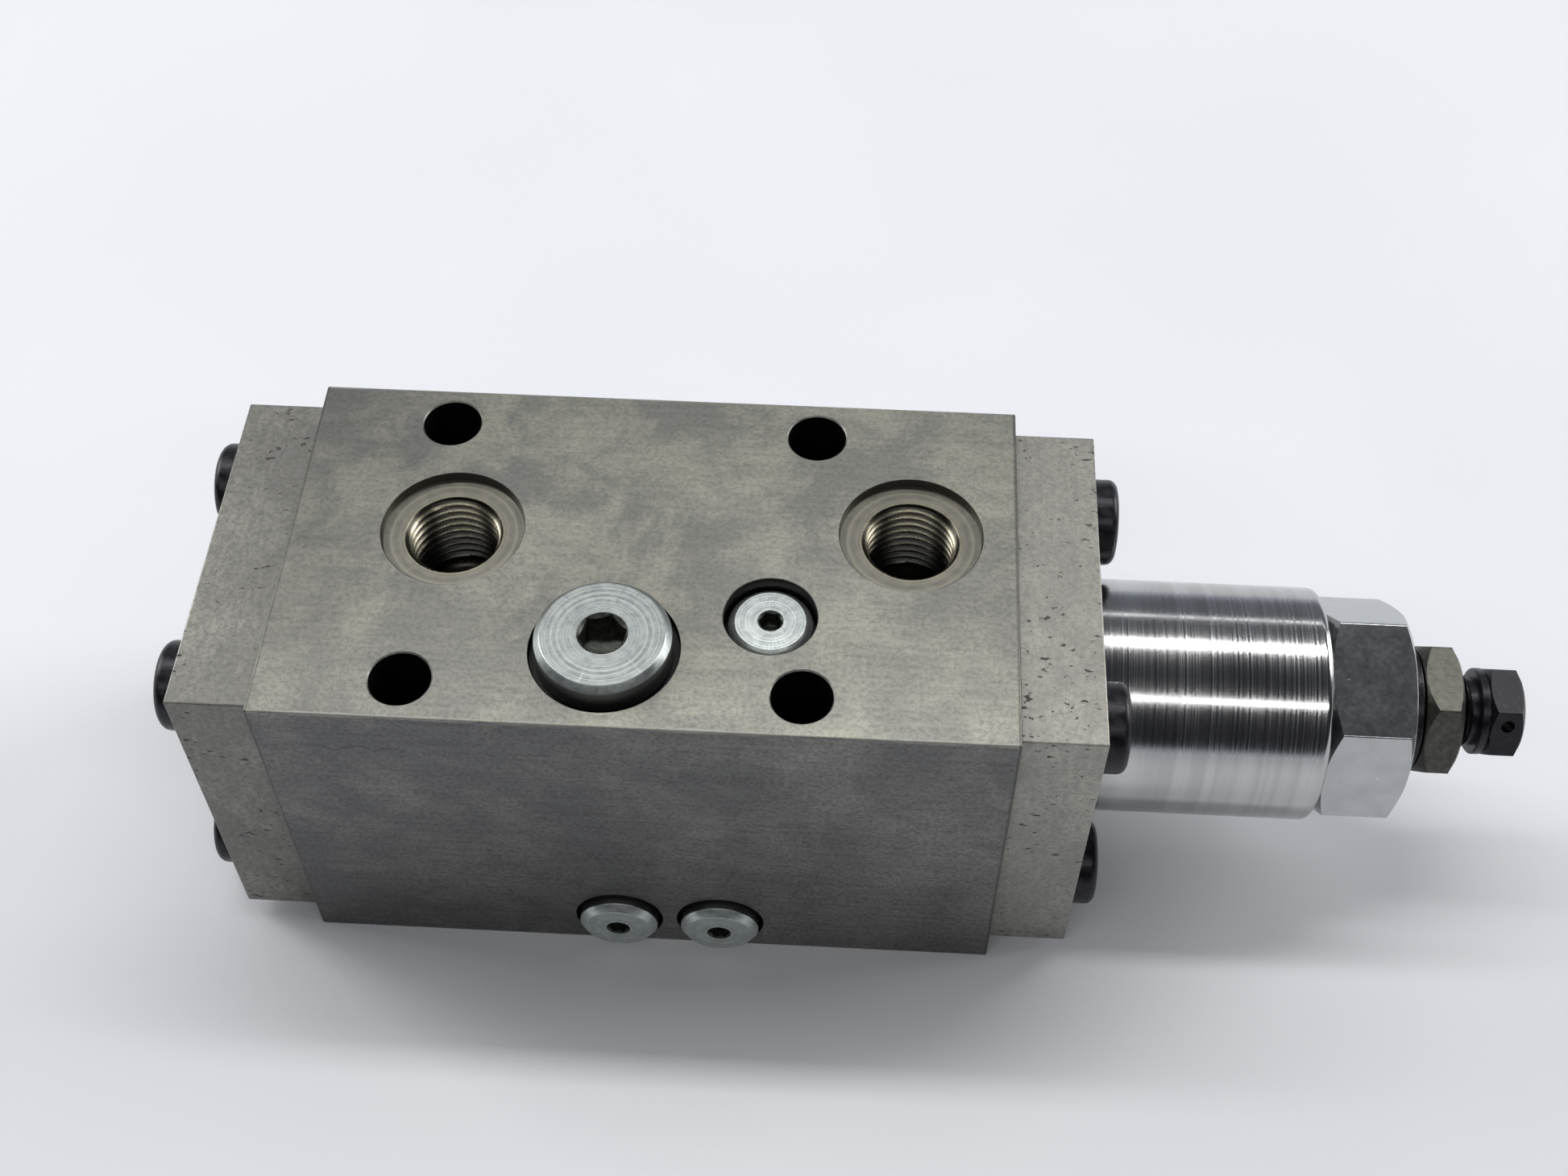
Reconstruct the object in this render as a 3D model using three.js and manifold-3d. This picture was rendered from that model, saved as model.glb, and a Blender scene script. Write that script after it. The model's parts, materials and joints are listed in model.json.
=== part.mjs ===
// Hydraulic monoblock valve: a steel block with a spring-loaded spool, two bolted end covers,
// a spring housing with a hex cap, and an adjusting screw held by a lock nut.
//
// Millimetres, +Z up. The origin is the centre of the block's base. X runs along the spool, with
// the adjusting screw at +X. The ports and the check valve plug are on top (+Z), and the two
// drilling plugs are on the front face (-Y).

import * as THREE from 'three';
import { mergeVertices } from 'three/addons/utils/BufferGeometryUtils.js';
import Module from 'manifold-3d';

const wasm = await Module();
wasm.setup();

// Driving dimensions -------------------------------------------------------------------------

const GAP = 0.3; // clearance kept between neighbouring pieces
const EDGE = 0.4; // broken edges of the block and the covers

const BLOCK = { length: 105, width: 60, height: 60 };
const COVER = { thickness: 12, side: 55.5, boreRadius: 14.3 };
const AXIS_Z = 30; // spool axis above the base
const BLOCK_END = BLOCK.length / 2;
const COVER_FACE = BLOCK_END + COVER.thickness; // outer face of each cover, along X

// Four vertical bolt holes for M8, right through the block.
const MOUNT_HOLE = { radius: 4.35, x: [-32.25, 22.75], y: [-23.5, 23.5] };

// The two threaded ports on top, 14 mm thread with a spot face. Each drilling meets a ring-shaped
// gallery round the spool.
const PORT = { faceRadius: 10.35, faceDepth: 1.6, chamferRadius: 7.35, boreRadius: 6.2, depth: 16 };
const PORTS = [
  { x: -29.1, y: 3.3 },
  { x: 37.1, y: 5.6 },
];
const GALLERY = { radius: 11, width: 10, drillRadius: 4.5 };

// The check valve plug on top, and the cavity under it.
const CHECK = { x: -4.9, y: -17.05, faceRadius: 10.5, faceDepth: 1.6 };
const CHECK_PLUG = { headRadius: 9.55, topRadius: 8.65, proud: 3.7, chamfer: 0.95, stemRadius: 6.7 };
const CHECK_STEM_END = 47.7; // underside of the plug's stem above the base
const CHECK_SOCKET = { acrossFlats: 6, depth: 4.2 };
const CHECK_CHAMBER = { radius: 6, floor: 34, throatRadius: 3 };
const CHECK_DRILLING = { radius: 1.8, length: 18, tilt: 40, y: -14 }; // from the chamber to the spool
const POPPET = { radius: 5.6, tipRadius: 0.8, top: 43, pocketFloor: 38, pocketRadius: 3.9 };
const SPRING_POCKET = { radius: 3.9, depth: 2.5 }; // in the underside of the plug's stem

// The small plugs: one sunk in the top face, two on the front face near the base.
const SMALL_PLUG = { headRadius: 6, topRadius: 5, headHeight: 3.5, stemRadius: 3.7, stemLength: 6 };
const SMALL_SOCKET = { acrossFlats: 3, depth: 2.6 };
const SMALL_HOLE = { faceRadius: 6.65, threadDepth: 8 };
const TOP_PLUG = { x: 17.7, y: -10.15, sunk: 1.1, hexTurn: 0.42, drillRadius: 2, galleryWidth: 6 };
const ORIFICE = { boreRadius: 0.6, radius: 1.7, low: 38, high: 43 };
const FRONT_PLUGS = [
  { name: 'left', x: -4.8, hexTurn: 0.41 },
  { name: 'right', x: 10.8, hexTurn: 0.65 },
];
const FRONT_PLUG_Z = 7;
const FRONT_PROUD = 2.05;
const FRONT_DRILL_RADIUS = 2.5;

// M8 socket head cap screws of the covers, sunk part way into the covers.
const SCREW = { headRadius: 6.5, headHeight: 8, proud: 3.85, stemRadius: 3.75, length: 20 };
const SCREW_SOCKET = { acrossFlats: 6, depth: 4 };
const SCREW_EDGE = 1.3; // rounding of the head's outer edge
const SCREW_POINT = 0.8; // chamfer of the screw's point
const SCREW_PITCH = 18.75; // from the spool axis, along Y and along Z
const SCREW_HEAD_BASE = COVER_FACE + SCREW.proud - SCREW.headHeight;
const COVER_HOLE = { clearance: 0.65, headClearance: 0.4, tappedDepth: 15 };
const COVER_RELIEF = { radius: 6, depth: 3 }; // clears the spool's end

// Spool, along X from the block's centre.
const SPOOL = { radius: 8, grooveRadius: 5, bore: 8.3, start: -52.1, end: 52.4, noseRadius: 5, nose: 56 };
const SPOOL_GROOVES = [
  [-42, -26],
  [-11, 1],
  [27, 43],
];

// Adjuster, as stations along X from the block's centre.
const HOUSING = { radius: 17.75, boreRadius: 11.5, spigotRadius: 14, spigotStart: 53.5, end: 99.5 };
const HOUSING_LIP = 1.2; // rounding of the housing's outer end
const CAP = { acrossFlats: 30, start: 99.8, end: 112.1, spigotRadius: 11.2, spigotStart: 91 };
const CAP_CHAMFER = { radius: 15.1, length: 1.2 };
const CAP_GROOVE = { start: 95, end: 97.2, depth: 1.7 };
const SCREW_THREAD_RADIUS = 5.95;
const CAP_THREAD_RADIUS = 6.3;
const WASHER = { boreRadius: 6.5, radius: 9.6, start: 112.4, end: 114.7 };
const LOCK_NUT = { acrossFlats: 19, start: 115, end: 120.6 };
const NUT_INNER_CHAMFER = { radius: 9.4, length: 1.4 };
const NUT_OUTER_CHAMFER = { radius: 9.4, length: 1 };
const ADJUSTER = { tip: 85.8, threadEnd: 123, neckRadius: 5.3, collar: 124.1, hex: 125.4, end: 130.5 };
const ADJUSTER_POINT = { tipRadius: 2.8, radius: 3.8, length: 2.5, taper: 2 };
const ADJUSTER_HEAD = { acrossFlats: 13, collarRadius: 6.6, wireHoleRadius: 1, chamfer: 0.7 };
const SPOOL_SEAT = { start: 52.8, face: 56.4, boss: 60, radius: 10.8, bossRadius: 6 };
const ADJUSTER_SEAT = { boss: 77, face: 80.6, end: 85.4, radius: 10.8, bossRadius: 6 };
const MAIN_SPRING = { radius: 8.3, wire: 1.25, turns: 6 };
const CHECK_SPRING = { radius: 3, wire: 0.4, turns: 6 };
const SPRING_GAP = 0.1; // between a spring's end and its seat

// The turn of each hexagon about its own axis.
const CAP_TURN = THREE.MathUtils.degToRad(20);
const NUT_TURN = THREE.MathUtils.degToRad(6);
const HEAD_TURN = THREE.MathUtils.degToRad(6);
const CHECK_PLUG_TURN = THREE.MathUtils.degToRad(-16);

// Seals.
const COVER_SEAL = { radius: 17, wire: 0.9, grooveDepth: 2.2, grooveWidth: 2.4 };
const CAP_SEAL = { radius: 10.55, wire: 0.85 };
const CHECK_SEAL = { inner: 7.2, outer: 8.7, height: 1 };
const SMALL_SEAL = { inner: 4, outer: 5.2, height: 0.8 };
const SEAL_GAP = 0.1; // under a plug's seal

// Round pieces are divided this finely.
const FINE = 32;
const MEDIUM = 22;
const COARSE = 16;

// Materials ----------------------------------------------------------------------------------

const steel = (color, roughness, metalness) =>
  new THREE.MeshStandardMaterial({ color, roughness, metalness });
const MATERIAL = {
  block: steel(0x77776e, 0.55, 0.85),
  cover: steel(0x74746b, 0.6, 0.8),
  turned: steel(0xa9a9ab, 0.25, 1),
  hexCap: steel(0x8d9091, 0.4, 0.95),
  nut: steel(0x3d3e36, 0.5, 0.8),
  blackOxide: steel(0x1a1a1f, 0.45, 0.6),
  zinc: steel(0xaeb5ae, 0.35, 0.9),
  spring: steel(0x55585c, 0.35, 0.95),
  ground: steel(0xb6b8ba, 0.2, 1),
  rubber: steel(0x151515, 0.8, 0),
};

// Solids -------------------------------------------------------------------------------------

// A closed three.js geometry as a solid that can be joined and cut.
function solidOf(geometry) {
  const bare = geometry.index ? geometry.clone() : geometry;
  bare.deleteAttribute('normal');
  bare.deleteAttribute('uv');
  const merged = mergeVertices(bare);
  return new wasm.Manifold(
    new wasm.Mesh({
      numProp: 3,
      vertProperties: new Float32Array(merged.attributes.position.array),
      triVerts: new Uint32Array(merged.index.array),
    }),
  );
}

// A solid back as a geometry for a mesh.
function geometryOf(solid) {
  const mesh = solid.getMesh();
  const geometry = new THREE.BufferGeometry();
  geometry.setAttribute('position', new THREE.BufferAttribute(mesh.vertProperties, 3));
  geometry.setIndex(new THREE.BufferAttribute(mesh.triVerts, 1));
  geometry.computeVertexNormals();
  return geometry;
}

// A solid turned about Z. The outline is a list of [radius, height] that starts and ends on the
// axis, or closes on itself.
function turned(outline, segments) {
  let area = 0;
  outline.forEach(([r, h], i) => {
    const [nextR, nextH] = outline[(i + 1) % outline.length];
    area += r * nextH - nextR * h;
  });
  const ordered = area > 0 ? outline : [...outline].reverse();
  const points = ordered.map(([r, h]) => new THREE.Vector2(r, h));
  return solidOf(new THREE.LatheGeometry(points, segments).rotateX(Math.PI / 2));
}

// A plain round bar about Z between two heights.
function bar(radius, low, high, segments) {
  return turned([[0, low], [radius, low], [radius, high], [0, high]], segments);
}

// A ring about Z with a rectangular section.
function ring(inner, outer, low, high, segments) {
  return turned([[inner, low], [outer, low], [outer, high], [inner, high], [inner, low]], segments);
}

// An O-ring about Z, with its round section centred at a height.
function oRing(radius, wire, height, segments) {
  return solidOf(new THREE.TorusGeometry(radius, wire, 6, segments).translate(0, 0, height));
}

// A hexagonal bar about Z with one corner on +Y.
function hexBar(acrossFlats, low, high) {
  const corner = acrossFlats / Math.sqrt(3);
  const points = [0, 1, 2, 3, 4, 5].map((i) => {
    const angle = Math.PI / 2 + (i * Math.PI) / 3;
    return new THREE.Vector2(corner * Math.cos(angle), corner * Math.sin(angle));
  });
  const bar = new THREE.ExtrudeGeometry(new THREE.Shape(points), {
    depth: high - low,
    bevelEnabled: false,
  });
  return solidOf(bar.translate(0, 0, low));
}

// A hexagonal bar whose corners are chamfered by cones at both ends.
function chamferedHex(acrossFlats, low, high, lowChamfer, highChamfer) {
  const reach = acrossFlats / Math.sqrt(3) + 0.01;
  const envelope = turned(
    [
      [0, low],
      [lowChamfer.radius, low],
      [reach, low + lowChamfer.length],
      [reach, high - highChamfer.length],
      [highChamfer.radius, high],
      [0, high],
    ],
    FINE,
  );
  return hexBar(acrossFlats, low, high).intersect(envelope);
}

// A hexagonal socket with a countersunk mouth, to cut from a head whose top is at a height.
function hexSocket({ acrossFlats, depth }, top) {
  const mouth = acrossFlats / Math.sqrt(3);
  const cone = turned([[0, top - mouth], [mouth + 0.5, top + 0.5], [0, top + 0.5]], COARSE);
  return hexBar(acrossFlats, top - depth, top + 1).add(cone);
}

// A wire spring about Z between two heights.
function coilSpring(spring, low, high, sides, stepsPerTurn) {
  class Coil extends THREE.Curve {
    getPoint(t, target = new THREE.Vector3()) {
      const angle = t * spring.turns * 2 * Math.PI;
      const height = low + spring.wire + t * (high - low - 2 * spring.wire);
      return target.set(spring.radius * Math.cos(angle), spring.radius * Math.sin(angle), height);
    }
  }
  const section = new THREE.Shape();
  section.absarc(0, 0, spring.wire, 0, 2 * Math.PI);
  const wire = new THREE.ExtrudeGeometry(section, {
    steps: spring.turns * stepsPerTurn,
    curveSegments: sides,
    extrudePath: new Coil(),
  });
  return solidOf(wire);
}

// A box centred on X and Y with its base at height 0 and every edge broken.
function brokenBox(length, width, height) {
  const x = length / 2 - EDGE;
  const y = width / 2 - EDGE;
  const corners = [
    [x, y - EDGE], [x - EDGE, y], [EDGE - x, y], [-x, y - EDGE],
    [-x, EDGE - y], [EDGE - x, -y], [x - EDGE, -y], [x, EDGE - y],
  ];
  const shape = new THREE.Shape(corners.map(([u, v]) => new THREE.Vector2(u, v)));
  const box = new THREE.ExtrudeGeometry(shape, {
    depth: height - 2 * EDGE,
    bevelSize: EDGE,
    bevelThickness: EDGE,
    bevelSegments: 1,
  });
  return solidOf(box.translate(0, 0, EDGE));
}

// Moves a solid, and turned solids that point along another axis.
const at = (solid, x, y, z) => solid.translate([x, y, z]);
const alongX = (solid) => solid.rotate([0, 90, 0]);
const alongMinusX = (solid) => solid.rotate([0, -90, 0]);
const alongY = (solid) => solid.rotate([-90, 0, 0]);

// The four cover screw places, about the spool axis.
const SCREW_PLACES = [
  [-SCREW_PITCH, SCREW_PITCH],
  [SCREW_PITCH, SCREW_PITCH],
  [SCREW_PITCH, -SCREW_PITCH],
  [-SCREW_PITCH, -SCREW_PITCH],
];

// The block ----------------------------------------------------------------------------------

// One threaded port: spot face, entry chamfer, thread bore and the drilling to the spool.
function portCut({ x, y }) {
  const face = BLOCK.height - PORT.faceDepth;
  const floor = BLOCK.height - PORT.depth;
  const outline = [
    [0, AXIS_Z],
    [GALLERY.drillRadius, AXIS_Z],
    [GALLERY.drillRadius, floor],
    [PORT.boreRadius, floor],
    [PORT.boreRadius, face - PORT.chamferRadius + PORT.boreRadius],
    [PORT.chamferRadius, face],
    [PORT.faceRadius, face],
    [PORT.faceRadius, BLOCK.height + 1],
    [0, BLOCK.height + 1],
  ];
  return at(turned(outline, MEDIUM), x, y, 0);
}

// The check valve cavity: spot face, thread bore, chamber, throat, and an angled drilling that
// runs from the chamber down to the spool.
function checkCavity() {
  const face = BLOCK.height - CHECK.faceDepth;
  const bore = CHECK_PLUG.stemRadius + GAP;
  const cavity = turned(
    [
      [0, FRONT_PLUG_Z],
      [CHECK_CHAMBER.throatRadius, FRONT_PLUG_Z],
      [CHECK_CHAMBER.throatRadius, CHECK_CHAMBER.floor],
      [CHECK_CHAMBER.radius, CHECK_CHAMBER.floor],
      [CHECK_CHAMBER.radius, CHECK_STEM_END - 1],
      [bore, CHECK_STEM_END],
      [bore, face],
      [CHECK.faceRadius, face],
      [CHECK.faceRadius, BLOCK.height + 1],
      [0, BLOCK.height + 1],
    ],
    MEDIUM,
  );
  const { radius, length, tilt, y } = CHECK_DRILLING;
  const drilling = bar(radius, -length, 0, COARSE).rotate([tilt, 0, 0]);
  return at(cavity, CHECK.x, CHECK.y, 0).add(at(drilling, CHECK.x, y, CHECK_STEM_END));
}

// A small plug's hole about Z, whose face floor is at height 0 and whose drilling runs down.
function smallPlugHole(faceHeight, drillRadius, drillDepth) {
  const bore = SMALL_PLUG.stemRadius + GAP;
  return turned(
    [
      [0, -drillDepth],
      [drillRadius, -drillDepth],
      [drillRadius, -SMALL_HOLE.threadDepth - 1],
      [bore, -SMALL_HOLE.threadDepth],
      [bore, 0],
      [SMALL_HOLE.faceRadius, 0],
      [SMALL_HOLE.faceRadius, faceHeight],
      [0, faceHeight],
    ],
    MEDIUM,
  );
}

function valveBlock() {
  let block = brokenBox(BLOCK.length, BLOCK.width, BLOCK.height);
  const cut = (solid) => {
    block = block.subtract(solid);
  };
  for (const x of MOUNT_HOLE.x) {
    for (const y of MOUNT_HOLE.y) {
      cut(at(bar(MOUNT_HOLE.radius, -1, BLOCK.height + 1, MEDIUM), x, y, 0));
    }
  }
  cut(at(alongX(bar(SPOOL.bore, -BLOCK_END - 1, BLOCK_END + 1, FINE)), 0, 0, AXIS_Z));
  for (const port of PORTS) {
    const half = GALLERY.width / 2;
    cut(at(alongX(bar(GALLERY.radius, port.x - half, port.x + half, MEDIUM)), 0, 0, AXIS_Z));
    cut(portCut(port));
  }
  cut(checkCavity());
  // The small top plug's gallery, and the drilling down to it.
  const topHalf = TOP_PLUG.galleryWidth / 2;
  const topGallery = bar(GALLERY.radius, TOP_PLUG.x - topHalf, TOP_PLUG.x + topHalf, MEDIUM);
  cut(at(alongX(topGallery), 0, 0, AXIS_Z));
  const topFloor = BLOCK.height - TOP_PLUG.sunk - SMALL_PLUG.headHeight - GAP;
  const topDrillDepth = topFloor - AXIS_Z - TOP_PLUG.drillRadius;
  const topHole = smallPlugHole(BLOCK.height - topFloor + 1, TOP_PLUG.drillRadius, topDrillDepth);
  cut(at(topHole, TOP_PLUG.x, TOP_PLUG.y, topFloor));
  // Each front drilling meets a riser to the spool bore.
  const frontFloor = SMALL_PLUG.headHeight + GAP - FRONT_PROUD - BLOCK.width / 2;
  for (const plug of FRONT_PLUGS) {
    const hole = smallPlugHole(SMALL_PLUG.headHeight, FRONT_DRILL_RADIUS, -frontFloor);
    cut(at(hole.rotate([90, 0, 0]), plug.x, frontFloor, FRONT_PLUG_Z));
    cut(at(bar(FRONT_DRILL_RADIUS, FRONT_PLUG_Z, AXIS_Z, COARSE), plug.x, 0, 0));
  }
  // Tapped holes and the seal groove in each end.
  const groove = ring(
    COVER_SEAL.radius - COVER_SEAL.grooveWidth / 2,
    COVER_SEAL.radius + COVER_SEAL.grooveWidth / 2,
    BLOCK_END - COVER_SEAL.grooveDepth,
    BLOCK_END + 1,
    MEDIUM,
  );
  const tappedStart = BLOCK_END - COVER_HOLE.tappedDepth;
  const tapped = bar(SCREW.stemRadius + GAP, tappedStart, BLOCK_END + 1, COARSE);
  for (const turnTo of [alongX, alongMinusX]) {
    cut(at(turnTo(groove), 0, 0, AXIS_Z));
    for (const [y, z] of SCREW_PLACES) {
      cut(at(turnTo(tapped), 0, y, AXIS_Z + z));
    }
  }
  return block;
}

// Covers and their screws --------------------------------------------------------------------

// A square cover whose inner face is at height 0, with counterbored screw holes.
function cover() {
  const side = COVER.side;
  const thickness = COVER.thickness - GAP;
  let plate = at(brokenBox(side, side, thickness), 0, 0, GAP);
  const seat = SCREW_HEAD_BASE - BLOCK_END - GAP;
  const holeRadius = SCREW.stemRadius + COVER_HOLE.clearance;
  const counterbore = SCREW.headRadius + COVER_HOLE.headClearance;
  for (const [u, v] of SCREW_PLACES) {
    const hole = turned(
      [
        [0, -1],
        [holeRadius, -1],
        [holeRadius, seat],
        [counterbore, seat],
        [counterbore, COVER.thickness + 1],
        [0, COVER.thickness + 1],
      ],
      COARSE,
    );
    plate = plate.subtract(at(hole, u, v, 0));
  }
  return plate;
}

// The left cover has a shallow relief for the spool's end.
const leftCover = () => cover().subtract(bar(COVER_RELIEF.radius, -1, COVER_RELIEF.depth, MEDIUM));

// The right cover is bored for the spring housing.
const rightCover = () => cover().subtract(bar(COVER.boreRadius, -1, COVER.thickness + 1, FINE));

// An M8 cap screw whose head's underside is at height 0.
function capScrew() {
  const { headRadius, headHeight, stemRadius, length } = SCREW;
  const screw = turned(
    [
      [0, -length],
      [stemRadius - SCREW_POINT, -length],
      [stemRadius, SCREW_POINT - length],
      [stemRadius, 0],
      [headRadius, 0],
      [headRadius, headHeight - SCREW_EDGE],
      [headRadius - SCREW_EDGE * 0.3, headHeight - SCREW_EDGE * 0.3],
      [headRadius - SCREW_EDGE, headHeight],
      [0, headHeight],
    ],
    COARSE,
  );
  return screw.subtract(hexSocket(SCREW_SOCKET, headHeight));
}

// Spool and springs --------------------------------------------------------------------------

function spool() {
  const outline = [
    [0, SPOOL.start],
    [SPOOL.radius - 0.5, SPOOL.start],
    [SPOOL.radius, SPOOL.start + 0.5],
  ];
  for (const [from, to] of SPOOL_GROOVES) {
    outline.push([SPOOL.radius, from]);
    outline.push([SPOOL.grooveRadius, from]);
    outline.push([SPOOL.grooveRadius, to]);
    outline.push([SPOOL.radius, to]);
  }
  outline.push([SPOOL.radius, SPOOL.end]);
  outline.push([SPOOL.noseRadius, SPOOL.end]);
  outline.push([SPOOL.noseRadius, SPOOL.nose]);
  outline.push([0, SPOOL.nose]);
  return turned(outline, MEDIUM);
}

// The seat pushed by the main spring against the spool.
function spoolSeat() {
  const inner = SPOOL.noseRadius + GAP;
  return turned(
    [
      [inner, SPOOL_SEAT.start],
      [SPOOL_SEAT.radius, SPOOL_SEAT.start],
      [SPOOL_SEAT.radius, SPOOL_SEAT.face],
      [SPOOL_SEAT.bossRadius, SPOOL_SEAT.face],
      [SPOOL_SEAT.bossRadius - 0.5, SPOOL_SEAT.boss],
      [0, SPOOL_SEAT.boss],
      [0, SPOOL.nose + GAP],
      [inner, SPOOL.nose + GAP],
      [inner, SPOOL_SEAT.start],
    ],
    MEDIUM,
  );
}

// The seat that the adjusting screw pushes, with a dimple for the screw's tip.
function adjusterSeat() {
  return turned(
    [
      [0, ADJUSTER_SEAT.boss],
      [ADJUSTER_SEAT.bossRadius - 0.5, ADJUSTER_SEAT.boss],
      [ADJUSTER_SEAT.bossRadius, ADJUSTER_SEAT.face],
      [ADJUSTER_SEAT.radius, ADJUSTER_SEAT.face],
      [ADJUSTER_SEAT.radius, ADJUSTER_SEAT.end - 0.6],
      [ADJUSTER_SEAT.radius - 0.6, ADJUSTER_SEAT.end],
      [4, ADJUSTER_SEAT.end],
      [0, ADJUSTER_SEAT.end - 1.5],
    ],
    MEDIUM,
  );
}

// Adjuster -----------------------------------------------------------------------------------

// Cylinder with a spigot for the cover, bored for the main spring.
function springHousing() {
  const shoulder = COVER_FACE + GAP;
  return turned(
    [
      [HOUSING.boreRadius, HOUSING.spigotStart],
      [HOUSING.spigotRadius - 0.5, HOUSING.spigotStart],
      [HOUSING.spigotRadius, HOUSING.spigotStart + 0.5],
      [HOUSING.spigotRadius, shoulder],
      [HOUSING.radius, shoulder],
      [HOUSING.radius, HOUSING.end - HOUSING_LIP],
      [HOUSING.radius - HOUSING_LIP * 0.3, HOUSING.end - HOUSING_LIP * 0.3],
      [HOUSING.radius - HOUSING_LIP, HOUSING.end],
      [HOUSING.boreRadius, HOUSING.end],
      [HOUSING.boreRadius, HOUSING.spigotStart],
    ],
    FINE,
  );
}

// Hex cap with a spigot in the housing, a groove for its seal and a bore for the screw.
function adjusterCap() {
  const hex = chamferedHex(CAP.acrossFlats, CAP.start, CAP.end, CAP_CHAMFER, CAP_CHAMFER);
  const spigot = bar(CAP.spigotRadius, CAP.spigotStart, CAP.start + 1, FINE);
  const grooveRadius = CAP.spigotRadius - CAP_GROOVE.depth;
  const groove = ring(grooveRadius, CAP.spigotRadius + 1, CAP_GROOVE.start, CAP_GROOVE.end, FINE);
  const bore = bar(CAP_THREAD_RADIUS, CAP.spigotStart - 1, CAP.end + 1, MEDIUM);
  return hex.add(spigot).subtract(groove).subtract(bore);
}

function lockNut() {
  const { acrossFlats, start, end } = LOCK_NUT;
  const hex = chamferedHex(acrossFlats, start, end, NUT_INNER_CHAMFER, NUT_OUTER_CHAMFER);
  return hex.subtract(bar(CAP_THREAD_RADIUS, start - 1, end + 1, MEDIUM));
}

// Adjusting screw: dog point, thread, neck, collar and a small hex head with a wire hole.
function adjustingScrew() {
  const { tip, threadEnd, neckRadius, collar, hex, end } = ADJUSTER;
  const { acrossFlats, collarRadius, wireHoleRadius, chamfer } = ADJUSTER_HEAD;
  const point = ADJUSTER_POINT;
  const stem = turned(
    [
      [0, tip],
      [point.tipRadius, tip],
      [point.radius, tip + point.radius - point.tipRadius],
      [point.radius, tip + point.length],
      [SCREW_THREAD_RADIUS, tip + point.length + point.taper],
      [SCREW_THREAD_RADIUS, threadEnd],
      [neckRadius, threadEnd + 0.5],
      [neckRadius, collar],
      [collarRadius, collar],
      [collarRadius, hex + 0.5],
      [0, hex + 0.5],
    ],
    MEDIUM,
  );
  const rim = { radius: collarRadius - 0.25, length: chamfer };
  const head = chamferedHex(acrossFlats, hex, end, rim, rim);
  const hole = alongY(bar(wireHoleRadius, -acrossFlats, acrossFlats, COARSE)).rotate([0, 0, 30]);
  return stem.add(head).subtract(at(hole, 0, 0, (hex + end) / 2));
}

// Plugs --------------------------------------------------------------------------------------

// The check valve plug, in block coordinates about its own axis.
function checkPlug() {
  const { headRadius, topRadius, proud, chamfer, stemRadius } = CHECK_PLUG;
  const top = BLOCK.height + proud;
  const seat = BLOCK.height - CHECK.faceDepth + GAP;
  const plug = turned(
    [
      [0, CHECK_STEM_END + SPRING_POCKET.depth],
      [SPRING_POCKET.radius, CHECK_STEM_END + SPRING_POCKET.depth],
      [SPRING_POCKET.radius, CHECK_STEM_END],
      [stemRadius - 0.6, CHECK_STEM_END],
      [stemRadius, CHECK_STEM_END + 0.6],
      [stemRadius, seat + 1],
      [headRadius - 0.6, seat + 1],
      [headRadius - 0.6, seat],
      [headRadius, seat],
      [headRadius, top - chamfer],
      [topRadius, top],
      [0, top],
    ],
    FINE,
  );
  return plug.subtract(hexSocket(CHECK_SOCKET, top));
}

// A small plug whose head's underside is at height 0.
function smallPlug() {
  const { headRadius, topRadius, headHeight, stemRadius, stemLength } = SMALL_PLUG;
  const plug = turned(
    [
      [0, -stemLength],
      [stemRadius - 0.5, -stemLength],
      [stemRadius, 0.5 - stemLength],
      [stemRadius, 0.8],
      [headRadius - 0.5, 0.8],
      [headRadius - 0.5, 0],
      [headRadius, 0],
      [headRadius, headHeight - 1],
      [topRadius, headHeight],
      [0, headHeight],
    ],
    MEDIUM,
  );
  return plug.subtract(hexSocket(SMALL_SOCKET, headHeight));
}

// The elastomer ring under a plug's head, whose lower side is at height 0.
const plugSeal = ({ inner, outer, height }) => ring(inner, outer, 0, height, MEDIUM);

function checkPoppet() {
  const { radius, tipRadius, top, pocketFloor, pocketRadius } = POPPET;
  const coneBase = CHECK_CHAMBER.floor - CHECK_CHAMBER.throatRadius + GAP;
  return turned(
    [
      [0, coneBase + tipRadius],
      [tipRadius, coneBase + tipRadius],
      [radius, coneBase + radius],
      [radius, top],
      [pocketRadius, top],
      [pocketRadius, pocketFloor],
      [0, pocketFloor],
    ],
    MEDIUM,
  );
}

// A fixed orifice screwed into the small top plug's drilling.
const orificeJet = () => ring(ORIFICE.boreRadius, ORIFICE.radius, ORIFICE.low, ORIFICE.high, COARSE);

// Assembly -----------------------------------------------------------------------------------

function add(parent, name, solid, material, place = [0, 0, 0], turn = 0) {
  const mesh = new THREE.Mesh(geometryOf(solid), material);
  mesh.name = name;
  mesh.position.set(...place);
  mesh.rotation.z = turn;
  parent.add(mesh);
}

const valve = new THREE.Group();
add(valve, 'valve_block', valveBlock(), MATERIAL.block);

// Everything turned about the spool axis, with local +Z along world +X.
const axisGroup = new THREE.Group();
axisGroup.position.z = AXIS_Z;
axisGroup.rotation.y = Math.PI / 2;
valve.add(axisGroup);

// The same, with local +Z along world -X.
const leftGroup = new THREE.Group();
leftGroup.position.z = AXIS_Z;
leftGroup.rotation.y = -Math.PI / 2;
valve.add(leftGroup);

add(axisGroup, 'right_cover', rightCover(), MATERIAL.cover, [0, 0, BLOCK_END]);
add(leftGroup, 'left_cover', leftCover(), MATERIAL.cover, [0, 0, BLOCK_END]);

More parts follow.
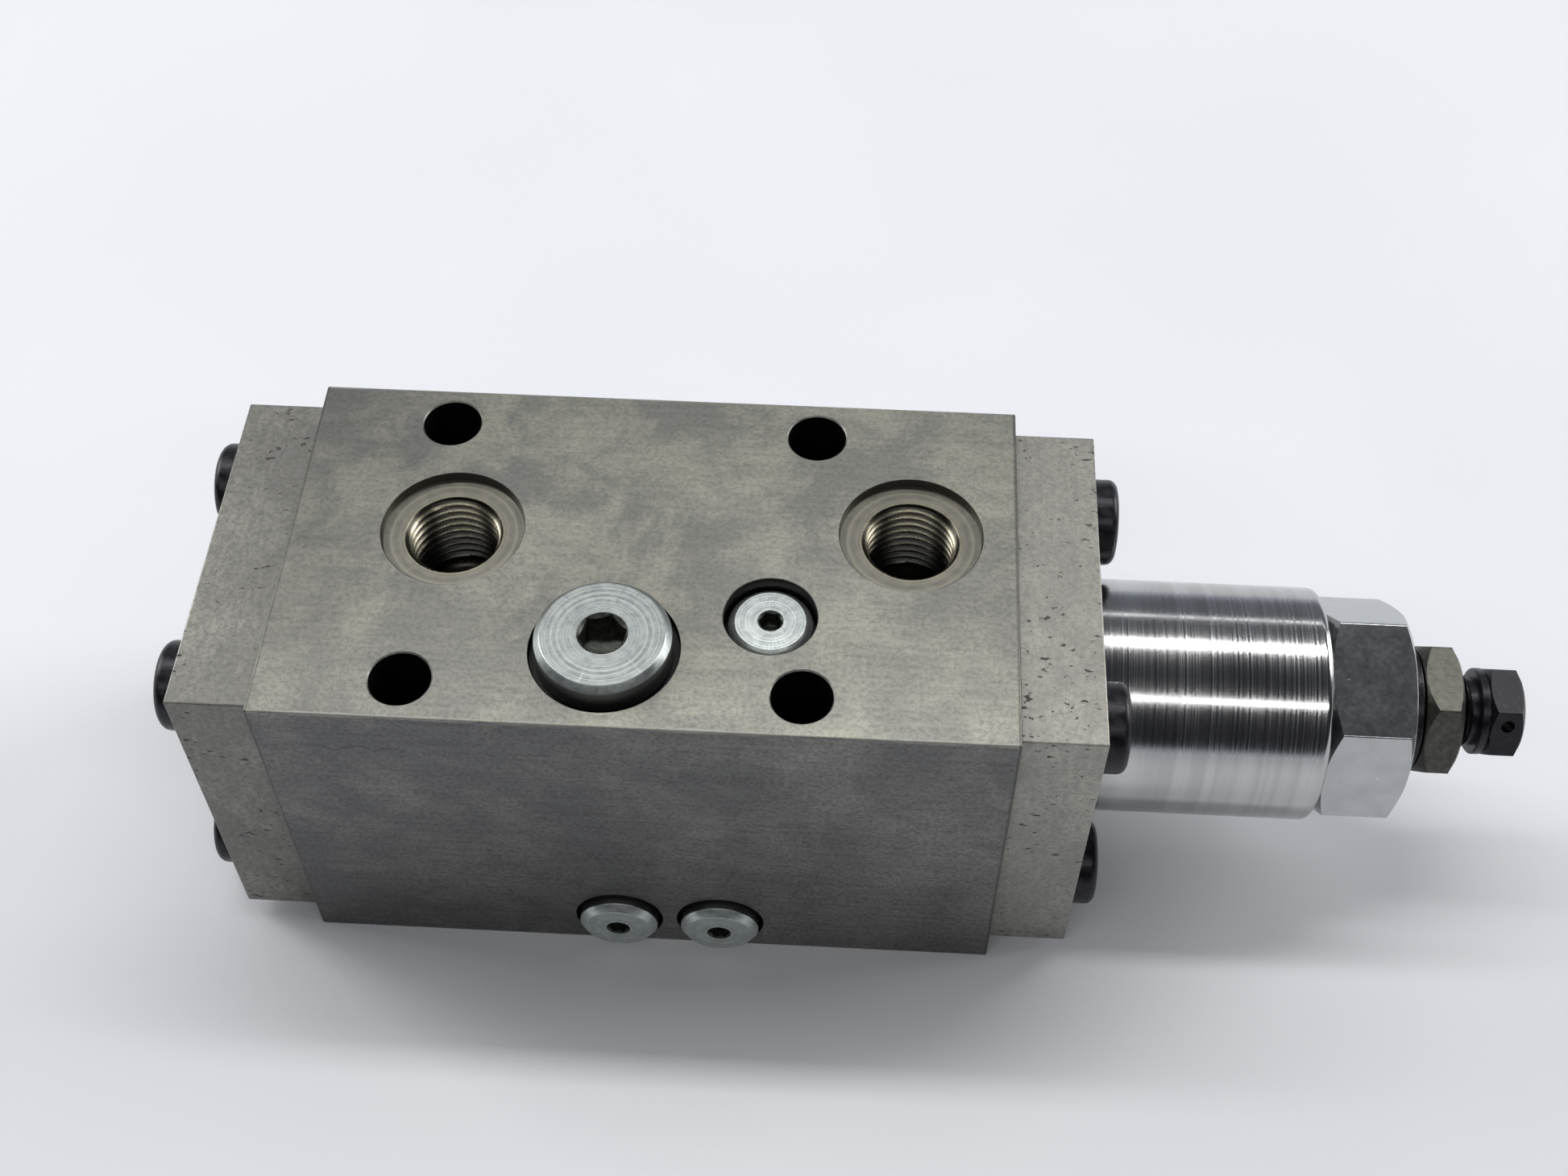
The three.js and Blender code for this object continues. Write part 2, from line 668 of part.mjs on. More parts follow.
for (const [side, group] of [['left', leftGroup], ['right', axisGroup]]) {
  SCREW_PLACES.forEach(([u, v], i) => {
    const place = [u, v, SCREW_HEAD_BASE];
    const turn = 0.35 + i * 0.4;
    add(group, `${side}_cover_screw_${i + 1}`, capScrew(), MATERIAL.blackOxide, place, turn);
  });
  const { radius, wire, grooveDepth } = COVER_SEAL;
  const seal = oRing(radius, wire, BLOCK_END - grooveDepth / 2, MEDIUM);
  add(group, `${side}_cover_seal`, seal, MATERIAL.rubber);
}

add(axisGroup, 'spool', spool(), MATERIAL.ground);
add(axisGroup, 'spool_spring_seat', spoolSeat(), MATERIAL.ground);
const mainStart = SPOOL_SEAT.face + SPRING_GAP;
const mainEnd = ADJUSTER_SEAT.face - SPRING_GAP;
const mainCoil = coilSpring(MAIN_SPRING, mainStart, mainEnd, 3, 16);
add(axisGroup, 'main_spring', mainCoil, MATERIAL.spring);
add(axisGroup, 'adjuster_spring_seat', adjusterSeat(), MATERIAL.ground);
add(axisGroup, 'spring_housing', springHousing(), MATERIAL.turned);
add(axisGroup, 'adjuster_cap', adjusterCap(), MATERIAL.hexCap, [0, 0, 0], CAP_TURN);
const capSeal = oRing(CAP_SEAL.radius, CAP_SEAL.wire, (CAP_GROOVE.start + CAP_GROOVE.end) / 2, MEDIUM);
add(axisGroup, 'adjuster_cap_seal', capSeal, MATERIAL.rubber);
const washer = ring(WASHER.boreRadius, WASHER.radius, WASHER.start, WASHER.end, MEDIUM);
add(axisGroup, 'lock_nut_washer', washer, MATERIAL.blackOxide);
add(axisGroup, 'lock_nut', lockNut(), MATERIAL.nut, [0, 0, 0], NUT_TURN);
add(axisGroup, 'adjusting_screw', adjustingScrew(), MATERIAL.blackOxide, [0, 0, 0], HEAD_TURN);

const checkPlace = [CHECK.x, CHECK.y, 0];
const checkSeat = BLOCK.height - CHECK.faceDepth;
add(valve, 'check_plug', checkPlug(), MATERIAL.zinc, checkPlace, CHECK_PLUG_TURN);
const checkSealPlace = [CHECK.x, CHECK.y, checkSeat + SEAL_GAP];
add(valve, 'check_plug_seal', plugSeal(CHECK_SEAL), MATERIAL.rubber, checkSealPlace);
add(valve, 'check_poppet', checkPoppet(), MATERIAL.ground, checkPlace);
const checkStart = POPPET.pocketFloor + SPRING_GAP;
const checkEnd = CHECK_STEM_END + SPRING_POCKET.depth - SPRING_GAP;
const checkCoil = coilSpring(CHECK_SPRING, checkStart, checkEnd, 2, 12);
add(valve, 'check_spring', checkCoil, MATERIAL.spring, checkPlace);

const topSeat = BLOCK.height - TOP_PLUG.sunk - SMALL_PLUG.headHeight;
const topPlace = [TOP_PLUG.x, TOP_PLUG.y, topSeat];
add(valve, 'top_plug', smallPlug(), MATERIAL.zinc, topPlace, TOP_PLUG.hexTurn);
const topSealPlace = [TOP_PLUG.x, TOP_PLUG.y, topSeat - GAP + SEAL_GAP];
add(valve, 'top_plug_seal', plugSeal(SMALL_SEAL), MATERIAL.rubber, topSealPlace);
add(valve, 'pilot_orifice', orificeJet(), MATERIAL.ground, [TOP_PLUG.x, TOP_PLUG.y, 0]);

// The front plugs, with local +Z along world -Y.
const frontGroup = new THREE.Group();
frontGroup.rotation.x = Math.PI / 2;
valve.add(frontGroup);
const frontSeat = BLOCK.width / 2 + FRONT_PROUD - SMALL_PLUG.headHeight;
for (const { name, x, hexTurn } of FRONT_PLUGS) {
  const place = [x, FRONT_PLUG_Z, frontSeat];
  add(frontGroup, `front_plug_${name}`, smallPlug(), MATERIAL.zinc, place, hexTurn);
  const sealPlace = [x, FRONT_PLUG_Z, frontSeat - GAP + SEAL_GAP];
  add(frontGroup, `front_plug_${name}_seal`, plugSeal(SMALL_SEAL), MATERIAL.rubber, sealPlace);
}

export default valve;
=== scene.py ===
import json
import math

import bmesh
import bpy
from mathutils import Matrix, Quaternion, Vector


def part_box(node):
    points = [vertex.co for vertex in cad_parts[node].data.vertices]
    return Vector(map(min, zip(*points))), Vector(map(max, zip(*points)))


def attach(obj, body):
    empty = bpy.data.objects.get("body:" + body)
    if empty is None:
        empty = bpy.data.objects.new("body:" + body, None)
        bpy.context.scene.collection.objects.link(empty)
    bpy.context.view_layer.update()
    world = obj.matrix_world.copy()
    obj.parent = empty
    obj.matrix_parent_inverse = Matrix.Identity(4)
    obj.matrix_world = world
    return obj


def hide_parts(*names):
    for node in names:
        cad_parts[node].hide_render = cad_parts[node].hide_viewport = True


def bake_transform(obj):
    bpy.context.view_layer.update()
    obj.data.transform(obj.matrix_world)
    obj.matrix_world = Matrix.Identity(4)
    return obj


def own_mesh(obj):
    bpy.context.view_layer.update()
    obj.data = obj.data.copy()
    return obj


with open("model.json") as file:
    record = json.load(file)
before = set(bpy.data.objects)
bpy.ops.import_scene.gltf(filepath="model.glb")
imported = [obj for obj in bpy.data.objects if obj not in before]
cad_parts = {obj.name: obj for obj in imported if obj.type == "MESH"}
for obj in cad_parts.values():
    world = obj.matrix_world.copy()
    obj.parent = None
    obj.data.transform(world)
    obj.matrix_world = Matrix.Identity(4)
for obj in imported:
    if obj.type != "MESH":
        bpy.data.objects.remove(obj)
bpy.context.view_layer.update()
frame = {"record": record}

# A steel hydraulic valve. Meshes are made in millimetres and written in metres. A turned piece is
# made about its own Z, with its origin on its axis, so that its finish can follow its own rings.

MM = 0.001
TAU = 2 * math.pi

# Places and sizes from the frame -------------------------------------------------------------


def box_mm(node):
    """A CAD node's lowest and highest corners, in millimetres."""
    low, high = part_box(node)
    return low / MM, high / MM


def middle_mm(node):
    low, high = box_mm(node)
    return (low + high) / 2


def span(node, axis="x"):
    """Where a CAD node starts and ends along an axis, in millimetres."""
    return tuple(getattr(corner, axis) for corner in box_mm(node))


OPENINGS = {o["name"]: o["box_m"] for o in frame["record"]["physics"]["openings"]}


def opening_mm(name):
    """The middle of an opening across X and Y, in millimetres."""
    low, high = OPENINGS[name]
    return tuple((a + b) / 2 / MM for a, b in zip(low[:2], high[:2]))


BLOCK_LOW, BLOCK_HIGH = box_mm("valve_block")  # centred on X and Y
BLOCK_END = BLOCK_HIGH.x
BLOCK_FRONT, BLOCK_BACK = BLOCK_LOW.y, BLOCK_HIGH.y
BLOCK_TOP = BLOCK_HIGH.z
AXIS_Z = BLOCK_TOP / 2
ON_AXIS = (0, 0, AXIS_Z, "+X")  # where place() puts a piece on the spool's axis
ENDS = {"left": ("-X", -1), "right": ("+X", 1)}  # each end's direction along X
HOLES = [opening_mm(name) for name in OPENINGS if name.startswith("mounting_hole")]
PORTS = [opening_mm(name) for name in OPENINGS if name.endswith("port")]
CHECK_AT = middle_mm("check_plug")
TOP_PLUG_AT = middle_mm("top_plug")
FRONT_PLUGS = {"front_plug_left": 0.41, "front_plug_right": 0.65}  # each with its socket's turn

# Sizes in millimetres that the frame's boxes don't give.
HOLE_RADIUS = 4.35
PORT = {"face": 10.35, "depth": 1.6, "chamfer": 7.1, "minor": 6.2, "major": 7.0, "floor": 16}
PITCH = 1.5
ROWS_A_TURN = 12  # points of a thread's outline in one turn
GALLERY = {"radius": 11, "width": 10, "drill": 4.5}
CHECK = {
    "face": 10.5, "depth": 1.6, "head": 9.55, "top": 8.65, "stem": 6.7, "turn": -16,
    "socket": 6, "socket_depth": 4.2,
}
SMALL = {
    "face": 6.65, "head": 6, "top": 5, "height": 3.5, "stem": 3.7, "length": 6,
    "socket": 3, "socket_depth": 2.6,
}
SCREW = {
    "head": 6.5, "height": 8, "stem": 3.75, "length": 20, "pitch": 18.75, "edge": 1.3,
    "socket": 6, "socket_depth": 4,
}
COVER_BORE = 14.3
COVER_RELIEF = {"radius": 6, "depth": 3}
SPOOL_BORE = 8.3
SPOOL = {"radius": 8, "neck": 5, "nose": 3.6, "grooves": [(-42, -26), (-11, 1), (27, 43)]}
SEAT = {"radius": 10.8, "plate": 3.6, "boss": 6, "tip": 5.5}
MAIN_COIL = {"radius": 8.3, "wire": 1.25, "turns": 6}
CHECK_COIL = {"radius": 3, "wire": 0.4, "turns": 6}
POPPET = {"radius": 5.6, "tip": 0.8, "cone": 4.8, "pocket": 3.9, "pocket_depth": 5}
HOUSING = {"bore": 11.5, "spigot": 14, "radius": 17.75}
CAP = {
    "across": 30, "chamfer": (15.1, 1.2), "turn": 20, "start": 99.8, "thread": 6.3, "spigot": 11.2,
    "spigot_start": 91,
}
NUT = {"across": 19, "turn": 6, "thread": 6.3}
BOLT = {"across": 13, "major": 5.95, "depth": 0.85, "thread_end": 123, "collar": 124.1, "head": 125.4}
SEAL_GROOVE = {"inner": 15.8, "outer": 18.2, "depth": 2.2}
TAPPED_DEPTH = 15
EDGE = 0.12  # fine rounding of cut edges
BROKEN_EDGE = 0.25
DEGREE = math.radians(1)
SHARP = 28  # degrees from which an edge is shaded sharp
MERGE = 0.0002  # how near two points are when they become one
GAP = 0.3  # clearance kept between neighbouring pieces

# Meshes --------------------------------------------------------------------------------------


def add(name, data):
    """A new object in the scene."""
    obj = bpy.data.objects.new(name, data)
    bpy.context.scene.collection.objects.link(obj)
    return obj


def rounded(outline, steps=4):
    """An outline of (radius, height) points. A third value rounds that corner by that much."""
    points = []
    for i, corner in enumerate(outline):
        here = Vector(corner[:2])
        if len(corner) == 2:
            points.append(here)
            continue
        before = (Vector(outline[i - 1][:2]) - here).normalized()
        after = (Vector(outline[(i + 1) % len(outline)][:2]) - here).normalized()
        half = before.angle(after) / 2
        centre = here + (before + after).normalized() * corner[2] / math.sin(half)
        start = here + before * corner[2] / math.tan(half) - centre
        end = here + after * corner[2] / math.tan(half) - centre
        spread = start.angle(end)
        for step in range(steps + 1):
            t = step / steps
            arm = start * math.sin((1 - t) * spread) + end * math.sin(t * spread)
            points.append(centre + arm / math.sin(spread))
    return [tuple(point) for point in points]


def even_angles(count=128):
    return [TAU * i / count for i in range(count)]


def mesh_object(name, vertices, faces, sharp=SHARP):
    """A closed mesh from millimetres, shaded smooth apart from edges sharper than an angle."""
    mesh = bpy.data.meshes.new(name)
    mesh.from_pydata([Vector(v) * MM for v in vertices], [], faces)
    shell = bmesh.new()
    shell.from_mesh(mesh)
    bmesh.ops.remove_doubles(shell, verts=shell.verts, dist=MERGE * MM)
    bmesh.ops.dissolve_degenerate(shell, edges=shell.edges, dist=MERGE * MM)
    if shell.calc_volume(signed=True) < 0:
        bmesh.ops.reverse_faces(shell, faces=shell.faces)
    shell.to_mesh(mesh)
    shell.free()
    obj = add(name, mesh)
    mesh.shade_smooth()
    if sharp < 60:
        shade(obj, sharp)
    return obj


def applied(obj):
    """Makes an object's modifiers part of its mesh."""
    bpy.context.view_layer.update()
    graph = bpy.context.evaluated_depsgraph_get()
    mesh = bpy.data.meshes.new_from_object(obj.evaluated_get(graph))
    old = obj.data
    obj.modifiers.clear()
    obj.data = mesh
    bpy.data.meshes.remove(old)
    mesh.name = obj.name


def shade(obj, sharp=SHARP):
    """Smooth shading that keeps large faces flat up to their rounded edges."""
    obj.data.shade_smooth()
    obj.data.set_sharp_from_angle(angle=sharp * DEGREE)
    modifier = obj.modifiers.new("shade", "WEIGHTED_NORMAL")
    modifier.keep_sharp = True
    modifier.weight = 90
    applied(obj)


def polar(name, profile, angles=None, closed=False, thread=None, sharp=SHARP):
    """A piece about Z whose outline may change with the angle: profile(angle) gives its
    (radius, height) points, from axis to axis, or round a ring if closed. thread is (first row,
    last row, rows a turn) for a stretch of rows that climbs one pitch in each turn."""
    angles = angles or even_angles()
    rows = [profile(angle) for angle in angles]
    count = len(rows[0])
    vertices = [
        (r * math.cos(a), r * math.sin(a), h) for a, row in zip(angles, rows) for r, h in row
    ]
    faces = []
    for i in range(len(rows)):
        here = i * count
        there = (i + 1) % len(rows) * count
        seam = i + 1 == len(rows)
        for k in range(count if closed else count - 1):
            m = (k + 1) % count
            shift = 0
            if thread and seam and thread[0] <= k < thread[1]:
                shift = thread[2]
                if k + 1 + shift > thread[1]:
                    continue
            faces.append((here + k, there + k + shift, there + m + shift, here + m))
    return mesh_object(name, vertices, faces, sharp)


def lathe(name, outline, closed=False, count=128):
    points = rounded(outline)
    return polar(name, lambda angle: points, even_angles(count), closed)


def hex_radius(apothem, corner, turn, angle):
    """How far a hexagon with rounded corners reaches at an angle. It has a corner on +Y."""
    off = abs((angle - turn + TAU / 12) % (TAU / 6) - TAU / 12)
    inner = apothem - corner
    if apothem * math.tan(off) <= inner * math.tan(TAU / 12):
        return apothem / math.cos(off)
    reach = inner / math.cos(TAU / 12)
    away = TAU / 12 - off
    return reach * math.cos(away) + math.sqrt(corner**2 - (reach * math.sin(away)) ** 2)


def hex_angles(apothem, corner, turn, step=3):
    """Angles that follow a hexagon's flats evenly, with extra ones round its corners."""
    width = TAU / 12 - math.atan((apothem - corner) * math.tan(TAU / 12) / apothem)
    flat = TAU / 12 - width
    steps = round(2 * flat / (step * DEGREE))
    offsets = [-flat + 2 * flat * i / steps for i in range(steps + 1)]
    offsets += [flat + width * i / 3 for i in (1, 2, 3, 4, 5)]
    return [turn + TAU / 6 * side + off for side in range(6) for off in offsets]


def together(*lists):
    """Several lists of angles as one, in order, with near neighbours dropped."""
    merged = []
    for angle in sorted(a % TAU for angles in lists for a in angles):
        if not merged or angle - merged[-1] > 0.05 * DEGREE:
            merged.append(angle)
    if merged[0] + TAU - merged[-1] < 0.05 * DEGREE:
        merged.pop()
    return merged


def hex_side(across, corner, turn, angle, low, high, low_chamfer, high_chamfer):
    """The outer side of a chamfered hexagon at an angle, from its lower face to its upper. A
    chamfer is (radius at the face, length on a corner)."""
    apothem = across / 2
    reach = across / math.sqrt(3)
    r = hex_radius(apothem, corner, turn, angle)
    points = []
    for height, inward, (face, length) in ((low, 1, low_chamfer), (high, -1, high_chamfer)):
        drop = max(0.0, (r - face) / (reach - face) * length) + EDGE
        rim = min(r, face)
        end = [(rim - EDGE, height), (rim, height + inward * EDGE), (r, height + inward * drop)]
        points.append(end)
    return points[0] + points[1][::-1]


def socket(across, turn, angle, top, depth):
    """A hexagonal socket at an angle, from its countersunk mouth to the middle of its floor."""
    r = hex_radius(across / 2, 0.1, turn, angle)
    mouth = across / math.sqrt(3) + 0.1
    floor = top - depth
    return [(mouth, top), (r, top - mouth + r), (r, floor), (across * 0.42, floor), (0, floor - 0.8)]


def socketed(name, outline, across, turn, depth, count):
    """A turned piece with a hexagonal socket in its upper face. The outline's last point is only
    there to round the edge before it."""
    outer = rounded(outline)
    top = outer[-1][1]
    angles = together(even_angles(count), hex_angles(across / 2, 0.1, turn, 7.5))
    return polar(name, lambda a: outer[:-1] + socket(across, turn, a, top, depth), angles)


def thread_radius(major, depth, height, angle):
    """The radius of a right-hand thread with narrow flats at its crest and its root."""
    phase = (height / PITCH - angle / TAU) % 1
    return major - depth * min(1, max(0, (abs(phase - 0.5) * 2 - 0.1) / 0.8))


def thread_rows(low, high, angle, radius):
    """Points up a threaded stretch, which climb with the angle and stop at both ends."""
    step = PITCH / ROWS_A_TURN
    count = math.ceil((high - low) / step) + ROWS_A_TURN
    points = []
    for i in range(count + 1):
        height = low - PITCH + i * step + PITCH * angle / TAU
        height = min(high, max(low, height))
        points.append((radius(height), height))
    return points


def helix(name, coil, low, high, part=(0, 1), sides=14, steps=40):
    """A compression spring about Z, with one closed coil at each end. part is the stretch of its
    wire to make, as shares of the turns."""
    radius, wire, turns = coil["radius"], coil["wire"], coil["turns"]
    first, last = (round(share * turns * steps) for share in part)
    lead = wire * 1.05
    rise = high - low - 2 * wire
    vertices = []
    for i in range(first, last + 1):
        t = i / steps
        closed = min(t, 1) + max(0, t - (turns - 1))
        share = (t - closed) / (turns - 2)
        height = low + wire + closed * lead + share * (rise - 2 * lead)
        angle = TAU * t
        for j in range(sides):
            turn = TAU * j / sides
            r = radius + wire * math.cos(turn)
            z = height + wire * math.sin(turn)
            vertices.append((r * math.cos(angle), r * math.sin(angle), z))
    count = last - first
    faces = [tuple(range(sides))[::-1], tuple(count * sides + j for j in range(sides))]
    for i in range(count):
        for j in range(sides):
            m = (j + 1) % sides
            a, b = i * sides, (i + 1) * sides
            faces.append((a + j, a + m, b + m, b + j))
    return mesh_object(name, vertices, faces, sharp=60)


def broken_box(name, low, high):
    """A box with every edge finely rounded."""
    shell = bmesh.new()
    bmesh.ops.create_cube(shell, size=1)
    low, high = Vector(low), Vector(high)
    for vertex in shell.verts:
        share = vertex.co + Vector((0.5, 0.5, 0.5))
        size = high - low
        vertex.co = (low + Vector(s * d for s, d in zip(share, size))) * MM
    size = BROKEN_EDGE * MM
    bmesh.ops.bevel(shell, geom=shell.edges[:], offset=size, segments=3, profile=0.5, affect="EDGES")
    mesh = bpy.data.meshes.new(name)
    shell.to_mesh(mesh)
    shell.free()
    return add(name, mesh)


def place(obj, x=0, y=0, z=0, along="+Z"):
    """Puts a piece at a point in millimetres, with its own Z along an axis."""
    turns = {
        "+Z": Matrix.Identity(4),
        "+X": Matrix.Rotation(90 * DEGREE, 4, "Y"),
        "-X": Matrix.Rotation(-90 * DEGREE, 4, "Y"),
        "-Y": Matrix.Rotation(90 * DEGREE, 4, "X"),
    }
    obj.matrix_world = Matrix.Translation(Vector((x, y, z)) * MM) @ turns[along]
    return obj


def cut(target, cutters):
    """Takes each cutter away from a piece."""
    for cutter in cutters:
        modifier = target.modifiers.new("cut", "BOOLEAN")
        modifier.operation = "DIFFERENCE"
        modifier.solver = "MANIFOLD"
        modifier.object = cutter
        applied(target)
        bpy.data.meshes.remove(cutter.data)
    target.data.shade_smooth()
    target.data.set_sharp_from_angle(angle=SHARP * DEGREE)


def keep_flat(obj, directions=((1, 0, 0), (0, 1, 0), (0, 0, 1))):
    """Shades the faces that look along some directions, either way, as true planes."""
    for face in obj.data.polygons:
        if any(abs(face.normal.dot(Vector(axis))) > 0.99999 for axis in directions):
            face.use_smooth = False


# Materials -----------------------------------------------------------------------------------


class Nodes:
    """Makes the nodes of a material or the world. An input is a number, a colour or a socket."""

    def __init__(self, tree):
        self.tree = tree

    def put(self, socket, value):
        if isinstance(value, bpy.types.NodeSocket):
            self.tree.links.new(value, socket)
        elif value is not None:
            socket.default_value = value

    def node(self, kind, settings, inputs):
        node = self.tree.nodes.new(f"ShaderNode{kind}")
        for key, value in settings.items():
            setattr(node, key, value)
        for key, value in inputs.items():
            self.put(node.inputs[key], value)
        return node.outputs

    def coordinates(self, output):
        return self.node("TexCoord", {}, {})[output]

    def split(self, vector):
        return self.node("SeparateXYZ", {}, {0: vector})

    def vector(self, operation, a, b):
        outputs = self.node("VectorMath", {"operation": operation}, {0: a, 1: b})
        return outputs["Value" if operation == "LENGTH" else "Vector"]

    def math(self, operation, a, b=None):
        return self.node("Math", {"operation": operation}, {0: a, 1: b})[0]

    def times(self, a, b):
        return self.math("MULTIPLY", a, b)

    def apart(self, a, b):
        return self.math("ABSOLUTE", self.math("SUBTRACT", a, b))

    def levels(self, value, low, high, start=0.0, end=1.0):
        """A value between two levels, eased from start to end."""
        inputs = dict(enumerate((value, low, high, start, end)))
        return self.node("MapRange", {"interpolation_type": "SMOOTHSTEP"}, inputs)[0]

    def mix(self, share, a, b):
        """A colour between two."""
        a, b = (c if isinstance(c, bpy.types.NodeSocket) else (*c, 1) for c in (a, b))
        return self.node("Mix", {"data_type": "RGBA"}, {"Factor": share, 6: a, 7: b})[2]

    def sum(self, *terms):
        """The sum of (value, weight) pairs."""
        total = 0.0
        for value, weight in terms:
            total = self.math("ADD", self.times(value, weight), total)
        return total


class Finish(Nodes):
    """One procedural material. Coordinates are a piece's own, in millimetres."""

    def __init__(self, name, metallic, anisotropic=0.0):
        self.material = bpy.data.materials.new(name)
        self.material.use_nodes = True
        super().__init__(self.material.node_tree)
        self.shader = self.tree.nodes["Principled BSDF"]
        self.shader.inputs["Metallic"].default_value = metallic
        self.shader.inputs["Anisotropic"].default_value = anisotropic
        self.mm = self.vector("MULTIPLY", self.coordinates("Object"), (1 / MM, 1 / MM, 1 / MM))
        self.x, self.y, self.z = self.split(self.mm)
        self.up = self.split(self.coordinates("Normal"))["Z"]

    def radius(self):
        """The distance from the piece's own Z axis."""
        return self.distance((0, 0))

    def distance(self, point):
        """The distance from a line along Z through a point."""
        away = self.vector("SUBTRACT", self.mm, (point[0], point[1], 0))
        return self.vector("LENGTH", self.vector("MULTIPLY", away, (1, 1, 0)), None)

    def noise(self, scale, detail=3, rough=0.55, distort=0.0, stretch=(1, 1, 1), shift=(0, 0, 0)):
        """Noise whose features are about 1 / scale millimetres across."""
        where = self.vector("MULTIPLY", self.vector("ADD", self.mm, shift), stretch)
        inputs = {"Vector": where, "Scale": scale, "Detail": detail, "Roughness": rough}
        return self.node("TexNoise", {}, {**inputs, "Distortion": distort})["Fac"]

    def lines(self, along, scale, detail=4, rough=0.6):
        """Noise that changes only with one value, such as the radius."""
        inputs = {"W": along, "Scale": scale, "Detail": detail, "Roughness": rough}
        return self.node("TexNoise", {"noise_dimensions": "1D"}, inputs)["Fac"]

    def cells(self, scale, stretch=(1, 1, 1)):
        """The distance to the nearest of many scattered points."""
        where = self.vector("MULTIPLY", self.mm, stretch)
        return self.node("TexVoronoi", {}, {"Vector": where, "Scale": scale})["Distance"]

    def bump(self, height, depth):
        """Relief from a height of 0 to 1, which stands for a depth in millimetres."""
        inputs = {"Strength": 1.0, "Distance": depth * MM, "Height": height}
        return self.node("Bump", {}, inputs)["Normal"]

    def end(self, colour, rough=None, normal=None):
        self.put(self.shader.inputs["Base Color"], colour)
        self.put(self.shader.inputs["Roughness"], rough)
        self.put(self.shader.inputs["Normal"], normal)
        return self.material


def edge_distance(finish, low, high):
    """How far a point on a box's face is from the nearest edge of that face."""
    gaps = []
    for value, start, end in zip((finish.x, finish.y, finish.z), low, high):
        from_middle = finish.apart(value, (start + end) / 2)
        gaps.append(finish.math("SUBTRACT", (end - start) / 2, from_middle))
    smaller = finish.math("MINIMUM", gaps[0], gaps[1])
    larger = finish.math("MAXIMUM", gaps[0], gaps[1])
    return finish.math("MAXIMUM", smaller, finish.math("MINIMUM", larger, gaps[2]))


def block_steel():
    """Milled steel with a cloudy grey-olive patina, a fine grain and faint lines along X. A painted
    sheen lightens its top towards the front and right, and its other faces a little towards the right.
    Painted shade darkens it towards the left, low down and at its ends by the covers. Its edges are
    lighter, partly from wear and partly as a painted highlight, and one hairline scratch runs on the
    front."""
    f = Finish("block_steel", metallic=0.85)
    cloud = f.noise(0.022, 5, 0.6, 0.35)
    blotch = f.noise(0.075, 7, 0.7, 0.4)
    grain = f.noise(1.5, 4, 0.8)
    streak = f.noise(1.0, 4, 0.6, stretch=(0.05, 1.2, 1.2))
    brushed = f.noise(0.5, 5, 0.7, 2.0, stretch=(0.5, 1, 1), shift=(9, 3, 4))
    top = f.levels(f.up, 0.5, 0.9)
    clouds = f.sum((cloud, 0.5), (blotch, 0.5))
    fine = f.sum((grain, 0.6), (streak, 0.2), (brushed, 0.2))
    colour = f.mix(f.levels(clouds, 0.40, 0.65), (0.152, 0.152, 0.151), (0.266, 0.260, 0.241))
    warm = f.mix(0.6, colour, (0.46, 0.45, 0.35))
    colour = f.mix(f.times(top, f.levels(blotch, 0.40, 0.62, 0.25, 0.8)), colour, warm)
    # Painted sheen: every face lighter towards the right, and the top also lighter towards the front.
    right = f.levels(f.math("ADD", f.x, f.levels(cloud, 0.3, 0.7, -12, 12)), -52, 50)
    front = f.levels(f.math("ADD", f.y, f.levels(blotch, 0.3, 0.7, -6, 6)), -10, -29)
    painted_sheen = f.times(top, f.math("MAXIMUM", right, f.times(front, right)))
    painted_sheen = f.sum((painted_sheen, 0.07), (right, 0.03), (f.times(top, front), 0.14))
    colour = f.mix(painted_sheen, colour, (0.72, 0.70, 0.60))
    # Painted shade: the top darker towards the left, and every face darker low down towards the left.
    painted_left_shade = f.times(top, f.levels(f.x, -15, -50))
    low_left_shade = f.times(f.levels(f.z, 34, 0), f.levels(f.x, 35, -52))
    painted_left_shade = f.times(f.math("MAXIMUM", painted_left_shade, low_left_shade), f.levels(blotch, 0.3, 0.7, 0.3, 0.2))
    colour = f.mix(painted_left_shade, colour, (0.07, 0.07, 0.068))
    dark = f.times(f.levels(fine, 0.38, 0.58, 0.7, 0), f.levels(f.up, 0.5, 0.9, 1, 0.62))
    colour = f.mix(dark, colour, (0.07, 0.069, 0.067))
    path = f.math("ADD", f.z, f.levels(f.lines(f.x, 0.3, 3), 0.3, 0.7, -0.7, 0.7))
    scratch = f.levels(f.apart(path, BLOCK_TOP - 8), 0.06, 0.16, 1, 0)
    length = f.levels(f.apart(f.x, -38), 5, 8, 0.6, 0)
    on_front = f.levels(f.y, BLOCK_FRONT + 0.3, BLOCK_FRONT + 0.1)
    scratch = f.times(scratch, f.times(length, on_front))
    colour = f.mix(scratch, colour, (0.03, 0.03, 0.03))
    # Edges lighter, partly from real wear and partly as a painted highlight.
    edge = edge_distance(f, BLOCK_LOW, BLOCK_HIGH)
    ragged_edge_distance = f.math("ADD", edge, f.levels(blotch, 0.35, 0.65, -0.2, 0.2))
    # Painted shade on the block's ends next to the covers, which also keeps the edge lightening off
    # there.
    seam = f.levels(f.math("ABSOLUTE", f.x), BLOCK_END - 0.6, BLOCK_END - 0.25)
    bright = f.times(f.levels(ragged_edge_distance, 0.05, 0.45, 0.45, 0), f.math("SUBTRACT", 1.0, seam))
    colour = f.mix(bright, colour, (0.45, 0.44, 0.39))
    colour = f.mix(f.times(seam, 0.6), colour, (0.06, 0.06, 0.055))
    rough = f.sum((f.levels(clouds, 0.4, 0.64, 0.50, 0.43), 1), (fine, -0.06), (bright, -0.1))
    height = f.sum((grain, 0.6), (streak, 0.2), (brushed, 0.4), (scratch, -1.0))
    return f.end(colour, rough, f.bump(height, 0.022))


